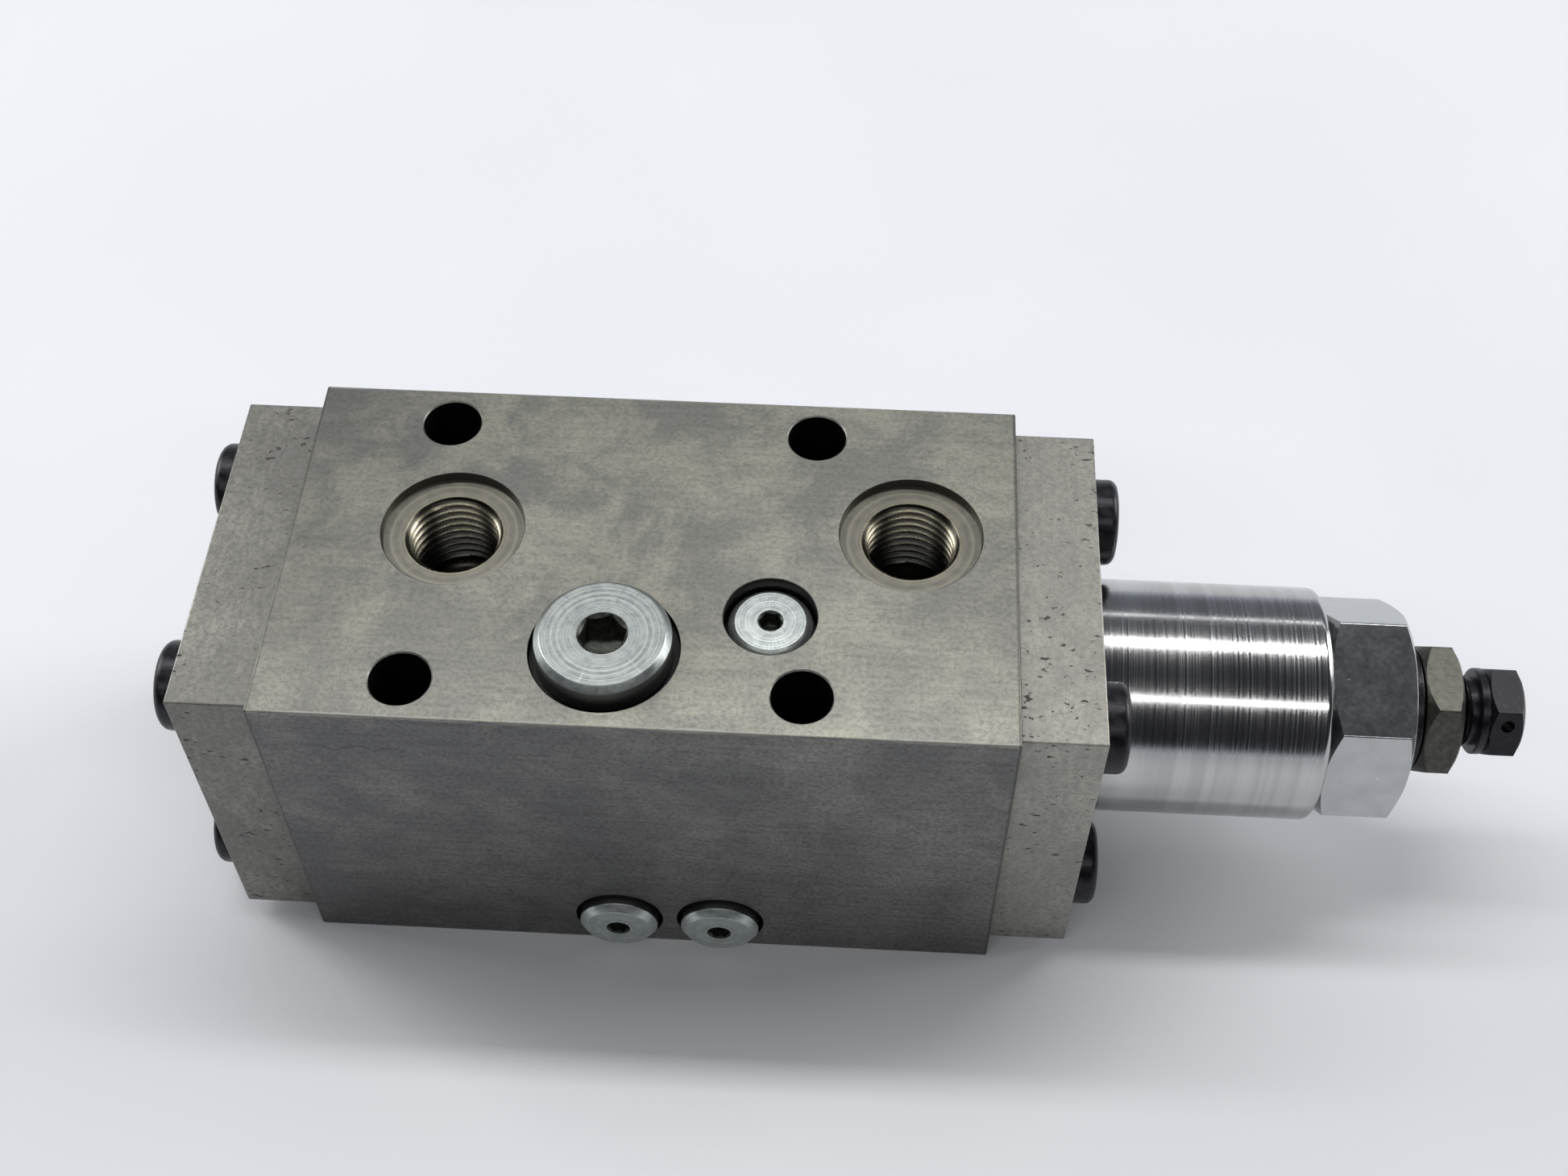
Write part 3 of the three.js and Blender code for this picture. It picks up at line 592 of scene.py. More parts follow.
def port_steel():
    """Cut steel in the ports, with rings round them. Painted shade darkens the spot face's wall, the
    thread grooves, the ports lower down and the other bores all through; a painted highlight
    lightens the entry chamfer."""
    f = Finish("port_steel", metallic=0.9)
    near = f.math("MINIMUM", f.distance(PORTS[0]), f.distance(PORTS[1]))
    rings = f.lines(near, 1.5)
    stain = f.noise(0.5, 5, 0.6, 0.6)
    grain = f.noise(2.2, 3, 0.7)
    colour = f.mix(f.levels(stain, 0.35, 0.7), (0.18, 0.173, 0.147), (0.235, 0.225, 0.187))
    colour = f.mix(f.levels(rings, 0.42, 0.62, 0, 0.6), colour, (0.33, 0.31, 0.25))
    # Painted shade on the spot face's wall.
    wall = f.levels(near, PORT["face"] - 0.2, PORT["face"] - 0.08, 0, 0.85)
    colour = f.mix(wall, colour, (0.05, 0.048, 0.042))
    # Painted highlight: lighter on the entry chamfer by the bore.
    colour = f.mix(f.levels(near, 7.6, 7.2, 0, 0.7), colour, (0.40, 0.365, 0.265))
    # Painted shade in the thread grooves, darkest at their roots.
    root = f.levels(near, PORT["minor"] + 0.1, PORT["major"] - 0.25, 0, 0.93)
    root = f.times(root, f.levels(near, PORT["major"] + 0.02, PORT["major"] + 0.12, 1, 0))
    colour = f.mix(root, colour, (0.014, 0.013, 0.011))
    # Painted shade: darker deeper down the ports, and dark all through the other bores.
    low = f.levels(f.math("ADD", f.z, f.levels(stain, 0.3, 0.7, -1, 1)), 48, 57, 1, 0)
    far = f.levels(near, 10.6, 11.2)
    colour = f.mix(f.times(f.math("MAXIMUM", low, far), 0.9), colour, (0.02, 0.02, 0.02))
    rough = f.levels(f.sum((stain, 0.5), (grain, 0.5)), 0.3, 0.7, 0.38, 0.44)
    rough = f.sum((rough, 1), (f.levels(near, 7.5, 7.1), -0.13))
    height = f.sum((rings, 0.8), (grain, 0.3))
    return f.end(colour, rough, f.bump(height, 0.02))


def cover_steel():
    """Drawn steel plate with small pits drawn out along X."""
    f = Finish("cover_steel", metallic=0.85)
    cloud = f.noise(0.05, 4, 0.6, 0.6)
    grain = f.noise(1.5, 4, 0.8)
    streak = f.noise(0.9, 4, 0.6, stretch=(1.2, 0.3, 0.3))
    pits = f.noise(1.3, 3, 0.5, stretch=(0.55, 1, 1), shift=(3, 5, 8))
    where = f.noise(0.09, 4, 0.7, shift=(5, 11, 3))
    pitted = f.levels(f.sum((pits, 1), (f.levels(where, 0.4, 0.65), 0.09)), 0.70, 0.75)
    clouds = f.sum((cloud, 0.7), (streak, 0.3))
    colour = f.mix(f.levels(clouds, 0.40, 0.64), (0.23, 0.226, 0.206), (0.35, 0.342, 0.30))
    colour = f.mix(f.levels(grain, 0.38, 0.60, 0.6, 0), colour, (0.13, 0.127, 0.115))
    # Painted light and shade: lighter towards +X, darker towards -X.
    colour = f.mix(f.levels(f.x, -30, 60, 0, 0.14), colour, (0.80, 0.78, 0.69))
    colour = f.mix(f.levels(f.x, 30, -60, 0, 0.16), colour, (0.10, 0.10, 0.095))
    colour = f.mix(f.times(pitted, 0.8), colour, (0.045, 0.042, 0.038))
    rough = f.sum((f.levels(clouds, 0.4, 0.7, 0.50, 0.42), 1), (pitted, 0.2), (grain, -0.05))
    height = f.sum((grain, 0.6), (streak, 0.2), (pitted, -1.2))
    return f.end(colour, rough, f.bump(height, 0.03))


def turned_steel():
    """Bright turned steel, with fine lines round it."""
    f = Finish("turned_steel", metallic=1.0, anisotropic=0.3)
    fine = f.lines(f.z, 3.0, 6, 0.75)
    bands = f.lines(f.z, 0.22, 3)
    faces = f.lines(f.radius(), 5.0)
    smear = f.noise(0.08, 4, 0.6)
    scuffs = f.noise(1.0, 4, 0.7, stretch=(1, 1, 3))
    colour = f.mix(f.levels(bands, 0.35, 0.65), (0.45, 0.45, 0.445), (0.54, 0.54, 0.535))
    colour = f.mix(f.levels(fine, 0.42, 0.62, 0.14, 0), colour, (0.30, 0.295, 0.30))
    rough = f.sum((f.levels(fine, 0.29, 0.69, 0.085, 0.21), 1), (f.levels(smear, 0.4, 0.7), 0.04))
    height = f.sum((fine, 0.8), (faces, 0.5), (scuffs, 0.3))
    return f.end(colour, rough, f.bump(height, 0.0065))


def milled_steel():
    """A bright milled hexagon with a few nicks."""
    f = Finish("milled_steel", metallic=1.0)
    grain = f.noise(1.4, 5, 0.65)
    cloud = f.noise(0.25, 4, 0.6)
    nicks = f.levels(f.cells(0.3, (1, 1, 0.7)), 0.03, 0.07, 1, 0)
    colour = f.mix(f.levels(cloud, 0.3, 0.72), (0.43, 0.445, 0.445), (0.50, 0.515, 0.52))
    colour = f.mix(f.times(nicks, 0.6), colour, (0.75, 0.75, 0.75))
    rough = f.levels(f.sum((grain, 0.6), (cloud, 0.4)), 0.3, 0.7, 0.20, 0.26)
    height = f.sum((grain, 0.6), (nicks, -1.2))
    return f.end(colour, rough, f.bump(height, 0.008))


def zinc_plate(name="zinc_plate", tone=1.0):
    """Pale zinc plate over turned steel: ringed and satin on the faces, smoother on the sides, where
    painted shade makes it darker. The tone is how bright its faces are."""
    f = Finish(name, metallic=0.92)
    rings = f.lines(f.radius(), 2.2, 2, 0.6)
    mottle = f.noise(0.7, 5, 0.7, 0.6)
    face = f.levels(f.up, 0.80, 0.95)
    tints = (0.45, 0.49, 0.475), (0.59, 0.63, 0.61), (0.78, 0.81, 0.79)
    low, high, ring = ([part * tone for part in tint] for tint in tints)
    pale = f.mix(f.levels(mottle, 0.35, 0.66), low, high)
    pale = f.mix(f.levels(rings, 0.46, 0.66, 0, 0.45), pale, ring)
    # Painted shade: the sides darker than the faces.
    colour = f.mix(f.levels(f.up, 0.3, 0.6), (0.15, 0.155, 0.15), pale)
    rough = f.levels(f.sum((mottle, 0.6), (rings, 0.4)), 0.35, 0.65, 0.33, 0.42)
    rough = f.sum((rough, 1), (f.math("SUBTRACT", 1.0, face), -0.03))
    return f.end(colour, rough, f.bump(rings, 0.02))


def socket_steel():
    """The inside of a socket: painted shade, dark and stained in patches."""
    f = Finish("socket_steel", metallic=0.8)
    stain = f.noise(1.2, 4, 0.6)
    colour = f.mix(f.levels(stain, 0.4, 0.7), (0.045, 0.05, 0.042), (0.11, 0.115, 0.10))
    return f.end(colour, f.levels(stain, 0.3, 0.7, 0.35, 0.5), f.bump(stain, 0.02))


def black_oxide():
    """Black oxide with a thin film of oil, a little lighter in places from wear."""
    f = Finish("black_oxide", metallic=0.5)
    mottle = f.noise(0.8, 4, 0.6)
    grain = f.noise(3.0, 2, 0.6)
    colour = f.mix(f.levels(mottle, 0.4, 0.7), (0.011, 0.011, 0.014), (0.026, 0.026, 0.031))
    rough = f.levels(mottle, 0.3, 0.7, 0.27, 0.42)
    return f.end(colour, rough, f.bump(f.sum((grain, 0.6), (mottle, 0.4)), 0.015))


def dark_nut():
    """Olive-black phosphate, with rubbing on the flats."""
    f = Finish("dark_nut", metallic=0.85)
    mottle = f.noise(1.1, 5, 0.7)
    lines = f.noise(2.4, 3, 0.6, stretch=(1, 1, 0.12))
    colour = f.mix(f.levels(mottle, 0.35, 0.68), (0.062, 0.061, 0.052), (0.112, 0.110, 0.092))
    rough = f.levels(mottle, 0.3, 0.7, 0.27, 0.36)
    return f.end(colour, rough, f.bump(f.sum((lines, 0.5), (mottle, 0.6)), 0.025))


def ground_steel():
    """Ground and hardened steel inside the valve."""
    f = Finish("ground_steel", metallic=1.0, anisotropic=0.3)
    fine = f.lines(f.z, 9.0, 4)
    tint = f.noise(0.2, 3)
    colour = f.mix(f.levels(tint, 0.35, 0.7), (0.56, 0.56, 0.56), (0.66, 0.66, 0.67))
    return f.end(colour, f.levels(fine, 0.3, 0.7, 0.14, 0.22), f.bump(fine, 0.004))


def spring_steel():
    """Oiled spring wire, slightly blued."""
    f = Finish("spring_steel", metallic=1.0)
    tint = f.noise(0.6, 3)
    grain = f.noise(4.0, 2)
    colour = f.mix(f.levels(tint, 0.35, 0.7), (0.25, 0.26, 0.29), (0.36, 0.37, 0.39))
    return f.end(colour, f.levels(tint, 0.3, 0.7, 0.28, 0.4), f.bump(grain, 0.01))


def rubber():
    """Black nitrile with a faint bloom."""
    f = Finish("rubber", metallic=0.0)
    bloom = f.noise(0.9, 4)
    grain = f.noise(5.0, 2)
    colour = f.mix(f.levels(bloom, 0.4, 0.7), (0.012, 0.012, 0.012), (0.03, 0.03, 0.03))
    return f.end(colour, f.levels(bloom, 0.3, 0.7, 0.6, 0.75), f.bump(grain, 0.02))


MATERIALS = {
    "block_steel": block_steel(),
    "cover_steel": cover_steel(),
    "turned_steel": turned_steel(),
    "milled_steel": milled_steel(),
    "ground_steel": ground_steel(),
    "spring_steel": spring_steel(),
    "black_oxide": black_oxide(),
    "dark_nut": dark_nut(),
    "zinc_plate": zinc_plate(),
    "rubber": rubber(),
}
PORT_STEEL = port_steel()
SOCKET_STEEL = socket_steel()
DULL_ZINC = zinc_plate("dull_zinc", 0.68)


def dress(obj, slot):
    """Gives a piece its finish."""
    obj.data.materials.clear()
    obj.data.materials.append(MATERIALS[slot])


def stand_in(obj, node, slot, body="valve_body"):
    """Finishes a piece that takes a CAD node's place, and lets it ride on a body."""
    dress(obj, slot)
    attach(obj, body)
    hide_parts(node)


def darken_socket(obj, across, floor):
    """Gives a socket's mouth, walls and floor the dark socket steel: painted shade, which also hides a
    highlight on the mouth. Its floor is at a height on the piece's own Z."""
    obj.data.materials.append(SOCKET_STEEL)
    for face in obj.data.polygons:
        x, y, z = face.center / MM
        side = abs(face.normal.z) < 0.8
        if math.hypot(x, y) < across / math.sqrt(3) + 0.1 and (side or z < floor + 0.1):
            face.material_index = 1


# The block -----------------------------------------------------------------------------------


def bore(radius, low, high, count=64):
    """A plain drill about Z."""
    return lathe("cutter", [(0, low), (radius, low), (radius, high), (0, high)], count=count)


def port_cutter(x, y):
    """Spot face, entry chamfer, threaded bore and drilling of a port."""
    face, floor = BLOCK_TOP - PORT["depth"], BLOCK_TOP - PORT["floor"]
    drill, minor, major, wide = GALLERY["drill"], PORT["minor"], PORT["major"], PORT["face"]
    start = [
        (0, AXIS_Z), (drill, AXIS_Z), (drill, floor), (minor, floor + 0.5), (minor, floor + 1.2),
    ]
    end = [
        (wide - 0.1, face), (wide, face + 0.1), (wide, BLOCK_TOP - EDGE), (wide + EDGE, BLOCK_TOP),
        (wide + EDGE, BLOCK_TOP + 1), (0, BLOCK_TOP + 1),
    ]

    def rows(angle):
        def radius(height):
            chamfer = PORT["chamfer"] + height - face
            return max(chamfer, thread_radius(major, major - minor, height, angle))

        return thread_rows(floor + 1.5, face, angle, radius)

    first = len(start)
    thread = (first, first + len(rows(0)) - 1, ROWS_A_TURN)
    cutter = polar("cutter", lambda a: start + rows(a) + end, even_angles(96), thread=thread)
    return place(cutter, x, y)


def check_cutter():
    """Spot face, thread bore, chamber and throat of the check valve."""
    face = BLOCK_TOP - CHECK["depth"]
    stem_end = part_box("check_plug")[0].z / MM
    stem = CHECK["stem"] + GAP
    outline = [
        (0, 7), (3, 7), (3, 34), (6, 34), (6, stem_end - 1), (stem, stem_end), (stem, face),
        (CHECK["face"], face), (CHECK["face"], BLOCK_TOP - EDGE),
        (CHECK["face"] + EDGE, BLOCK_TOP), (CHECK["face"] + EDGE, BLOCK_TOP + 1),
        (0, BLOCK_TOP + 1),
    ]
    return place(lathe("cutter", outline), CHECK_AT.x, CHECK_AT.y)


def small_cutter(drill, depth, open_height):
    """A small plug's hole about Z, whose face floor is at height 0."""
    stem = SMALL["stem"] + GAP
    face = SMALL["face"]
    outline = [
        (0, -depth), (drill, -depth), (drill, -9), (stem, -8), (stem, 0), (face, 0),
        (face, open_height - EDGE), (face + EDGE, open_height), (face + EDGE, open_height + 1),
        (0, open_height + 1),
    ]
    return lathe("cutter", outline, count=96)


def block():
    piece = broken_box("steel_block", BLOCK_LOW, BLOCK_HIGH)
    cutters = [place(hole_cutter(), x, y) for x, y in HOLES]
    cutters.append(place(bore(SPOOL_BORE, -60, 60), *ON_AXIS))
    for x, y in PORTS:
        cutters.append(place(gallery_cutter(GALLERY["width"]), x, 0, AXIS_Z, "+X"))
        cutters.append(port_cutter(x, y))
    cutters.append(check_cutter())
    drilling = bore(1.8, -18, 0, count=32)
    drilling.matrix_world = Matrix.Translation(
        Vector((CHECK_AT.x, -14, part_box("check_plug")[0].z / MM)) * MM
    ) @ Matrix.Rotation(40 * DEGREE, 4, "X")
    cutters.append(drilling)
    cutters.append(place(gallery_cutter(6), TOP_PLUG_AT.x, 0, AXIS_Z, "+X"))
    top_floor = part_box("top_plug")[0].z / MM + SMALL["length"] - GAP
    top = small_cutter(2, top_floor - AXIS_Z - 2, BLOCK_TOP - top_floor)
    cutters.append(place(top, TOP_PLUG_AT.x, TOP_PLUG_AT.y, top_floor))
    for name in FRONT_PLUGS:
        at = middle_mm(name)
        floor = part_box(name)[1].y / MM - SMALL["length"] + GAP
        hole = small_cutter(2.5, -floor, floor - BLOCK_FRONT)
        cutters.append(place(hole, at.x, floor, at.z, "-Y"))
        cutters.append(place(bore(2.5, at.z, AXIS_Z, count=48), at.x, 0))
    for along in ("+X", "-X"):
        inner, outer = SEAL_GROOVE["inner"], SEAL_GROOVE["outer"]
        low, high = BLOCK_END - SEAL_GROOVE["depth"], BLOCK_END + 1
        outline = [(inner, low), (outer, low), (outer, high), (inner, high)]
        cutters.append(place(lathe("cutter", outline, closed=True), 0, 0, AXIS_Z, along))
        for y, z in SCREW_PLACES:
            tapped = bore(SCREW["stem"] + GAP, BLOCK_END - TAPPED_DEPTH, BLOCK_END + 1, count=32)
            cutters.append(place(tapped, 0, y, AXIS_Z + z, along))
    cut(piece, cutters)
    keep_flat(piece)
    stand_in(piece, "valve_block", "block_steel")
    piece.data.materials.append(PORT_STEEL)
    for face in piece.data.polygons:
        x, y, z = face.center / MM
        cavity = any(math.hypot(x - px, y - py) < 11.5 for px, py in [*PORTS, CHECK_AT[:2]])
        inside = abs(x) < BLOCK_END - 0.5 and BLOCK_FRONT + 0.5 < y < BLOCK_BACK - 0.5
        if inside and 0.5 < z < BLOCK_TOP - (0.05 if cavity else 0.5):
            face.material_index = 1


def hole_cutter():
    """A mounting hole, flared a little at both faces."""
    flare = HOLE_RADIUS + 0.2
    outline = [
        (0, -1), (flare, -1), (flare, 0), (HOLE_RADIUS, 0.2), (HOLE_RADIUS, BLOCK_TOP - 0.2),
        (flare, BLOCK_TOP), (flare, BLOCK_TOP + 1), (0, BLOCK_TOP + 1),
    ]
    return lathe("cutter", outline, count=96)


def gallery_cutter(width):
    return bore(GALLERY["radius"], -width / 2, width / 2)


SCREW_PLACES = [
    (SCREW["pitch"] * y, SCREW["pitch"] * z) for y, z in ((-1, 1), (1, 1), (1, -1), (-1, -1))
]


# Covers and screws ---------------------------------------------------------------------------


def cover(side):
    """An end cover, in the block's coordinates."""
    along, sign = ENDS[side]
    node = f"{side}_cover"
    low, high = box_mm(node)
    if side == "right":
        low.x = BLOCK_END
        middle = bore(COVER_BORE, 40, 80, count=128)
    else:
        high.x = -BLOCK_END
        middle = bore(COVER_RELIEF["radius"], 40, BLOCK_END + COVER_RELIEF["depth"])
    piece = broken_box(f"{side}_end_cover", low, high)
    thickness = high.x - low.x
    seat = SCREW_HEAD_BASE - BLOCK_END
    hole, counter = SCREW["stem"] + 0.65, SCREW["head"] + 0.4
    outline = [
        (0, -1), (hole, -1), (hole, seat), (counter, seat), (counter, thickness - 0.15),
        (counter + 0.15, thickness), (counter + 0.15, thickness + 1), (0, thickness + 1),
    ]
    cutters = []
    for y, z in SCREW_PLACES:
        cutter = lathe("cutter", outline, count=96)
        cutters.append(place(cutter, sign * BLOCK_END, y, AXIS_Z + z, along))
    cut(piece, [*cutters, place(middle, 0, 0, AXIS_Z, along)])
    keep_flat(piece)
    stand_in(piece, node, "cover_steel")


SCREW_HEAD_BASE = box_mm("right_cover_screw_1")[1].x - SCREW["height"]


def cap_screw(name, turn):
    """A socket head cap screw whose head's underside is at height 0."""
    head, height, stem, length = (SCREW[key] for key in ("head", "height", "stem", "length"))
    outline = [
        (0, -length), (stem - 0.8, -length), (stem, 0.8 - length), (stem, -0.3), (stem, 0),
        (head, 0, 0.25), (head, height, SCREW["edge"]), (head - 2, height),
    ]
    return socketed(name, outline, SCREW["socket"], turn, SCREW["socket_depth"], 96)


def cover_screws(side):
    along, sign = ENDS[side]
    for i in range(len(SCREW_PLACES)):
        node = f"{side}_cover_screw_{i + 1}"
        at = middle_mm(node)
        piece = cap_screw(f"{side}_cap_screw_{i + 1}", 0.35 + 0.4 * i)
        place(piece, sign * SCREW_HEAD_BASE, at.y, at.z, along)
        stand_in(piece, node, "black_oxide")


# Seals and inner pieces ----------------------------------------------------------------------


def o_ring(name, radius, wire, height):
    section = [
        (radius + wire * math.cos(TAU * i / 16), height + wire * math.sin(TAU * i / 16))
        for i in range(16)
    ]
    return polar(name, lambda angle: section, even_angles(96), closed=True, sharp=60)


def seals():
    for side, (along, _) in ENDS.items():
        ring = o_ring(f"{side}_o_ring", 17, 0.9, BLOCK_END - 1.1)
        stand_in(place(ring, 0, 0, AXIS_Z, along), f"{side}_cover_seal", "rubber")
    ring = o_ring("cap_o_ring", 10.55, 0.85, 96.1)
    stand_in(place(ring, *ON_AXIS), "adjuster_cap_seal", "rubber")
    for node, inner, outer in (
        ("check_plug_seal", 7.2, 8.7),
        ("top_plug_seal", 4, 5.2),
        ("front_plug_left_seal", 4, 5.2),
        ("front_plug_right_seal", 4, 5.2),
    ):
        low, high = box_mm(node)
        front = node.startswith("front")
        height = high.y - low.y if front else high.z - low.z
        ring = lathe(
            node.replace("_seal", "_sealing_ring"),
            [(inner, 0, 0.2), (outer, 0, 0.2), (outer, height, 0.2), (inner, height, 0.2)],
            closed=True,
            count=96,
        )
        at = middle_mm(node)
        if front:
            place(ring, at.x, high.y, at.z, "-Y")
        else:
            place(ring, at.x, at.y, low.z)
        stand_in(ring, node, "rubber")


def spool_set():
    """The spool, both spring seats and the main spring, along the spool's axis."""
    start, end = span("spool")
    shoulder = end - SPOOL["nose"]
    wide, neck = SPOOL["radius"], SPOOL["neck"]
    outline = [(0, start), (wide, start, 0.5)]
    for low, high in SPOOL["grooves"]:
        outline += [(wide, low, 0.15), (neck, low, 0.6), (neck, high, 0.6), (wide, high, 0.15)]
    outline += [(wide, shoulder, 0.4), (neck, shoulder), (neck, end, 0.5), (0, end)]
    piece = place(lathe("spool_bar", outline), *ON_AXIS)
    stand_in(piece, "spool", "ground_steel", "spool_body")

    low, high = span("spool_spring_seat")
    inner = neck + GAP
    rim, plate, boss, tip = (SEAT[key] for key in ("radius", "plate", "boss", "tip"))
    outline = [
        (0, end + GAP), (inner, end + GAP), (inner, low), (rim, low, 0.4), (rim, low + plate, 0.3),
        (boss, low + plate, 0.3), (tip, high, 0.5), (0, high),
    ]
    piece = place(lathe("spool_seat", outline), *ON_AXIS)
    stand_in(piece, "spool_spring_seat", "ground_steel", "spool_body")

    start, end = span("adjuster_spring_seat")
    outline = [
        (0, start), (tip, start, 0.5), (boss, start + plate, 0.3), (rim, start + plate, 0.3),
        (rim, end, 0.6), (4, end, 0.2), (0, end - 1.5),
    ]
    piece = place(lathe("adjuster_seat", outline), *ON_AXIS)
    stand_in(piece, "adjuster_spring_seat", "ground_steel", "adjuster_seat_body")

    low, high = span("main_spring")
    near = place(helix("main_coil_near", MAIN_COIL, low, high, (0, 0.5)), *ON_AXIS)
    stand_in(near, "main_spring", "spring_steel")
    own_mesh(near)
    far = place(helix("main_coil_far", MAIN_COIL, low, high, (0.5, 1)), *ON_AXIS)
    dress(far, "spring_steel")
    end = ((high - 1.5) * MM, 0, AXIS_Z * MM)  # the closed coil that rests on the seat
    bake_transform(far)
    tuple(end)
    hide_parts("main_spring")


def check_set():
    """Check poppet, its spring, and the orifice under the small plug."""
    low, high = span("check_poppet", "z")
    radius, pocket, floor = POPPET["radius"], POPPET["pocket"], high - POPPET["pocket_depth"]
    outline = [
        (0, low), (POPPET["tip"], low), (radius, low + POPPET["cone"], 0.3), (radius, high, 0.3),
        (pocket, high, 0.2), (pocket, floor, 0.5), (0, floor),
    ]
    piece = place(lathe("poppet", outline), CHECK_AT.x, CHECK_AT.y)
    stand_in(piece, "check_poppet", "ground_steel", "check_poppet_body")

    low, high = span("check_spring", "z")
    spring = place(helix("check_coil", CHECK_COIL, low, high, steps=32), CHECK_AT.x, CHECK_AT.y)
    stand_in(spring, "check_spring", "spring_steel")
    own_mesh(spring)

    low, high = span("pilot_orifice", "z")
    jet = lathe(
        "orifice_jet",
        [(0.6, low), (1.7, low, 0.2), (1.7, high, 0.2), (1.1, high), (0.6, high - 0.5)],
        closed=True,
        count=64,
    )
    place(jet, TOP_PLUG_AT.x, TOP_PLUG_AT.y)
    stand_in(jet, "pilot_orifice", "ground_steel")


# Adjuster ------------------------------------------------------------------------------------


def adjuster():
    low, high = span("spring_housing")
    shoulder = box_mm("right_cover")[1].x + GAP
    inner, spigot, outer = HOUSING["bore"], HOUSING["spigot"], HOUSING["radius"]
    outline = [
        (inner, low), (spigot, low, 0.4), (spigot, shoulder), (outer, shoulder, 0.25),
        (outer, high, 1.2), (inner, high, 0.2),
    ]
    piece = place(lathe("housing", outline, closed=True, count=192), *ON_AXIS)
    stand_in(piece, "spring_housing", "turned_steel")

    start, end = CAP["start"], box_mm("adjuster_cap")[1].x
    turn, across, inner = CAP["turn"] * DEGREE, CAP["across"], CAP["thread"]
    outer, first = CAP["spigot"], CAP["spigot_start"]
    spigot = rounded(
        [
            (inner, first), (outer, first, 0.4), (outer, 95), (9.5, 95, 0.2), (9.5, 97.2, 0.2),
            (outer, 97.2), (outer, start),
        ]
    )
    chamfer = CAP["chamfer"]

    def cap_profile(angle):
        side = hex_side(across, 0.45, turn, angle, start, end, chamfer, chamfer)
        return spigot + side + [(inner + 0.6, end), (inner, end - 0.6)]

    angles = hex_angles(across / 2, 0.45, turn, 2)
    piece = place(polar("hex_cap", cap_profile, angles, closed=True), *ON_AXIS)
    stand_in(piece, "adjuster_cap", "milled_steel")

    low, high = span("lock_nut_washer")
    outline = [(6.5, low, 0.2), (9.6, low, 0.3), (9.6, high, 0.3), (6.5, high, 0.2)]
    piece = place(lathe("washer", outline, closed=True), *ON_AXIS)
    stand_in(piece, "lock_nut_washer", "black_oxide", "nut_washer_body")

    low, high = span("lock_nut")
    nut_turn, nut_across, thread = NUT["turn"] * DEGREE, NUT["across"], NUT["thread"]

    def nut_profile(angle):
        side = hex_side(nut_across, 0.3, nut_turn, angle, low, high, (9.4, 1.4), (9.4, 1))
        ends = [(thread, low + 0.7), (thread + 0.7, low)]
        return [*ends, *side, (thread + 0.7, high), (thread, high - 0.7)]

    angles = hex_angles(nut_across / 2, 0.3, nut_turn, 2.5)
    piece = place(polar("hex_nut", nut_profile, angles, closed=True), *ON_AXIS)
    stand_in(piece, "lock_nut", "dark_nut", "lock_nut_body")


def adjusting_screw():
    """Dog point, thread, neck, collar and a small hex head with a wire hole."""
    turn, across, head = NUT["turn"] * DEGREE, BOLT["across"], BOLT["head"]
    collar = BOLT["collar"]
    tip, end = span("adjusting_screw")
    thread_low, thread_high = tip + 4.5, BOLT["thread_end"]
    point = rounded([(0, tip), (2.8, tip), (3.8, tip + 1), (3.8, tip + 2.5), (5.15, thread_low)])
    neck = rounded([(5.2, 123.2), (5.2, collar), (6.6, collar, 0.3), (6.6, head - 0.1), (6.3, head)])

    def rows(angle):
        def radius(height):
            ends = min(thread_high - height + 5.2, height - thread_low + 5.15)
            return min(ends, thread_radius(BOLT["major"], BOLT["depth"], height, angle + math.pi))

        return thread_rows(thread_low, thread_high, angle, radius)

    def profile(angle):
        side = hex_side(across, 0.2, turn, angle, head, end, (6.35, 0.7), (6.3, 0.7))
        return point + rows(angle) + neck + side + [(0, end)]

    first = len(point)
    thread = (first, first + len(rows(0)) - 1, ROWS_A_TURN)
    angles = together(even_angles(72), hex_angles(across / 2, 0.2, turn, 5))
    piece = polar("adjuster_bolt", profile, angles, thread=thread)
    place(piece, *ON_AXIS)
    hole = lathe("cutter", [(0, -12), (1, -12), (1, 12), (0, 12)], count=32)
    middle = Vector(((head + end) / 2, 0, AXIS_Z)) * MM
    spin = Matrix.Rotation(turn + 30 * DEGREE, 4, "X").inverted()
    hole.matrix_world = Matrix.Translation(middle) @ spin @ Matrix.Rotation(90 * DEGREE, 4, "X")
    cut(piece, [hole])
    flats = [(math.cos(turn + TAU / 6 * i), math.sin(turn + TAU / 6 * i), 0) for i in range(3)]
    keep_flat(piece, [*flats, (0, 0, 1)])
    stand_in(piece, "adjusting_screw", "black_oxide", "adjusting_screw_body")


# Plugs ---------------------------------------------------------------------------------------


def check_plug():
    low, high = span("check_plug", "z")
    seat = BLOCK_TOP - CHECK["depth"] + GAP
    head, top, stem = CHECK["head"], CHECK["top"], CHECK["stem"]
    across, depth = CHECK["socket"], CHECK["socket_depth"]
    outline = [
        (0, low + 2.5), (3.9, low + 2.5), (3.9, low), (stem - 0.6, low), (stem, low + 0.6),
        (stem, seat + 1), (head - 0.6, seat + 1), (head - 0.6, seat), (head, seat, 0.15),
        (head, high - 0.95, 0.2), (top, high, 0.2), (top - 2, high),
    ]
    piece = socketed("large_plug", outline, across, CHECK["turn"] * DEGREE, depth, 128)
    place(piece, CHECK_AT.x, CHECK_AT.y)
    stand_in(piece, "check_plug", "zinc_plate")
    piece.data.materials[0] = DULL_ZINC
    darken_socket(piece, across, high - depth)


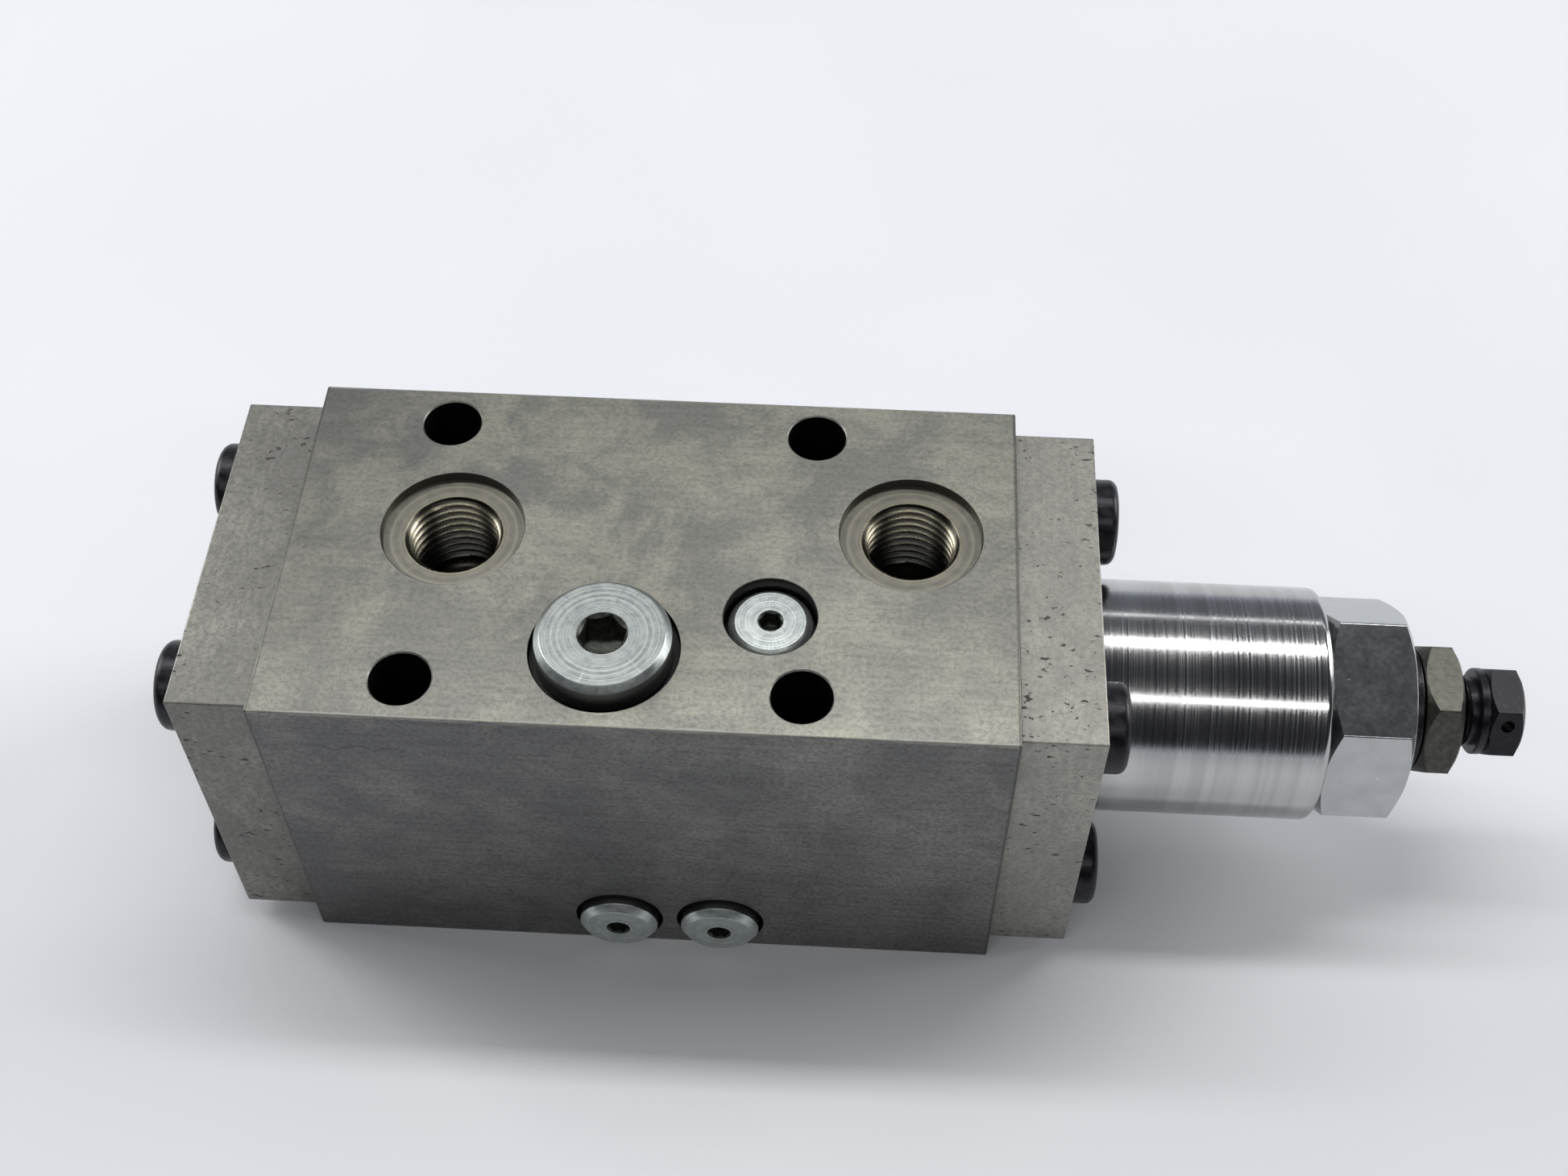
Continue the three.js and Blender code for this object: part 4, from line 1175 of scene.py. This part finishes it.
def small_plug(name, turn):
    """A small plug whose head's underside is at height 0."""
    head, top, height, stem = (SMALL[key] for key in ("head", "top", "height", "stem"))
    length = SMALL["length"]
    outline = [
        (0, -length), (stem, -length, 0.5), (stem, 0.8), (head - 0.5, 0.8), (head - 0.5, 0),
        (head, 0, 0.1), (head, height - 1, 0.15), (top, height, 0.15), (top - 1, height),
    ]
    return socketed(name, outline, SMALL["socket"], turn, SMALL["socket_depth"], 96)


def small_plugs():
    piece = small_plug("top_small_plug", 0.42)
    place(piece, TOP_PLUG_AT.x, TOP_PLUG_AT.y, box_mm("top_plug")[1].z - SMALL["height"])
    stand_in(piece, "top_plug", "zinc_plate")
    darken_socket(piece, SMALL["socket"], SMALL["height"] - SMALL["socket_depth"])
    for node, turn in FRONT_PLUGS.items():
        at = middle_mm(node)
        piece = small_plug(node.replace("plug", "small_plug"), turn)
        place(piece, at.x, box_mm(node)[0].y + SMALL["height"], at.z, "-Y")
        stand_in(piece, node, "zinc_plate")
        darken_socket(piece, SMALL["socket"], SMALL["height"] - SMALL["socket_depth"])


block()
for side in ENDS:
    cover(side)
    cover_screws(side)
seals()
spool_set()
check_set()
adjuster()
adjusting_screw()
check_plug()
small_plugs()

# Camera, floor and light ---------------------------------------------------------------------

CAMERA_AT = Vector((28.446, -176.337, 283.565)) * MM
CAMERA_AIM = Vector((-0.032409, 0.607739, -0.793475))
CAMERA_ROLL = 0.08 * DEGREE
LENS = 45.806  # millimetres, on a sensor 36 mm wide


def camera():
    data = bpy.data.cameras.new("camera")
    data.lens = LENS
    data.sensor_width = 36
    data.sensor_fit = "HORIZONTAL"
    data.clip_start = 0.01
    data.clip_end = 20
    obj = add("camera", data)
    obj.location = CAMERA_AT
    spin = CAMERA_AIM.to_track_quat("-Z", "Y") @ Quaternion((0, 0, 1), CAMERA_ROLL)
    obj.rotation_euler = spin.to_euler()
    bpy.context.scene.camera = obj


def floor():
    """A plain pale floor under the valve. It glows further out, so that it stays pale as far as the
    horizon."""
    shell = bmesh.new()
    bmesh.ops.create_grid(shell, x_segments=2, y_segments=2, size=12)
    mesh = bpy.data.meshes.new("floor")
    shell.to_mesh(mesh)
    shell.free()
    obj = add("floor", mesh)
    f = Finish("floor_paper", metallic=0.0)
    tone = f.noise(0.01, 2)
    f.put(f.shader.inputs["Emission Color"], (0.93, 0.95, 1, 1))
    f.put(f.shader.inputs["Emission Strength"], f.levels(f.radius(), 450, 1600, 0, 0.72))
    mesh.materials.append(
        f.end(f.mix(f.levels(tone, 0.3, 0.7), (0.775, 0.79, 0.825), (0.80, 0.812, 0.84)), 0.75)
    )


def area_light(name, level, width, height):
    """A rectangular light, as bright as a surface of that level, that the camera doesn't see."""
    data = bpy.data.lights.new(name, "AREA")
    data.shape = "RECTANGLE"
    data.size, data.size_y = width, height
    data.energy = level * math.pi * width * height
    obj = add(name, data)
    obj.visible_camera = False
    return obj


def strip(name, angle, spread, level, left=0.0):
    """A long soft light over the valve, along X. The angle is from straight up, towards the front,
    and the spread is how wide the light looks from the valve, both in degrees."""
    length, distance = 1.8, 1.2
    turn = angle * DEGREE
    obj = area_light(name, level, length, 2 * distance * math.tan(spread * DEGREE / 2))
    obj.location = (-left, -distance * math.sin(turn), AXIS_Z * MM + distance * math.cos(turn))
    obj.rotation_euler = Matrix.Rotation(-turn, 4, "X").inverted().to_euler()


def window(name, level, azimuth, height):
    """A large soft light. The azimuth is from +Y towards -X and the height from the horizon, both in
    degrees."""
    side, distance = 0.6, 1.3
    turn, up = azimuth * DEGREE, height * DEGREE
    obj = area_light(name, level, side, side)
    away = Vector((-math.sin(turn) * math.cos(up), math.cos(turn) * math.cos(up), math.sin(up)))
    obj.location = away * distance
    obj.rotation_euler = (-away).to_track_quat("-Z", "Y").to_euler()


def room(levels):
    """A plain grey room that is even along X. Each level is (degrees from straight up towards the
    front, brightness)."""
    world = bpy.data.worlds.new("room")
    bpy.context.scene.world = world
    world.use_nodes = True
    tree = world.node_tree
    n = Nodes(tree)
    _, y, z = n.split(n.coordinates("Generated"))
    angle = n.math("ARCTAN2", n.times(y, -1), z)
    ramp = tree.nodes.new("ShaderNodeValToRGB")
    n.put(ramp.inputs[0], n.math("ADD", n.times(angle, 1 / TAU), 0.5))
    n.put(tree.nodes["Background"].inputs[0], ramp.outputs[0])
    stops = ramp.color_ramp.elements
    while len(stops) < len(levels):
        stops.new(0.5)
    for stop, (degrees, level) in zip(stops, levels):
        stop.position = degrees / 360 + 0.5
        stop.color = (level * 0.94, level, level * 1.17, 1)


camera()
floor()
SIDES = [(-60, 0.17), (-30, 0.10), (5, 0.035), (60, 0.03), (84, 0.02)]
room([(-95, 0.6), (-88, 0.5), (-80, 0.2), *SIDES, (88, 0.5), (95, 0.6)])
strip("key_light", -18.5, 5, 15, left=0.25)
strip("front_light", 37, 4, 7)
strip("back_light", -51, 1.6, 4)
window("left_light", 6.9, 70, 26)
window("right_light", 6.9, -68, 26)
bpy.context.scene.view_settings.view_transform = "Standard"
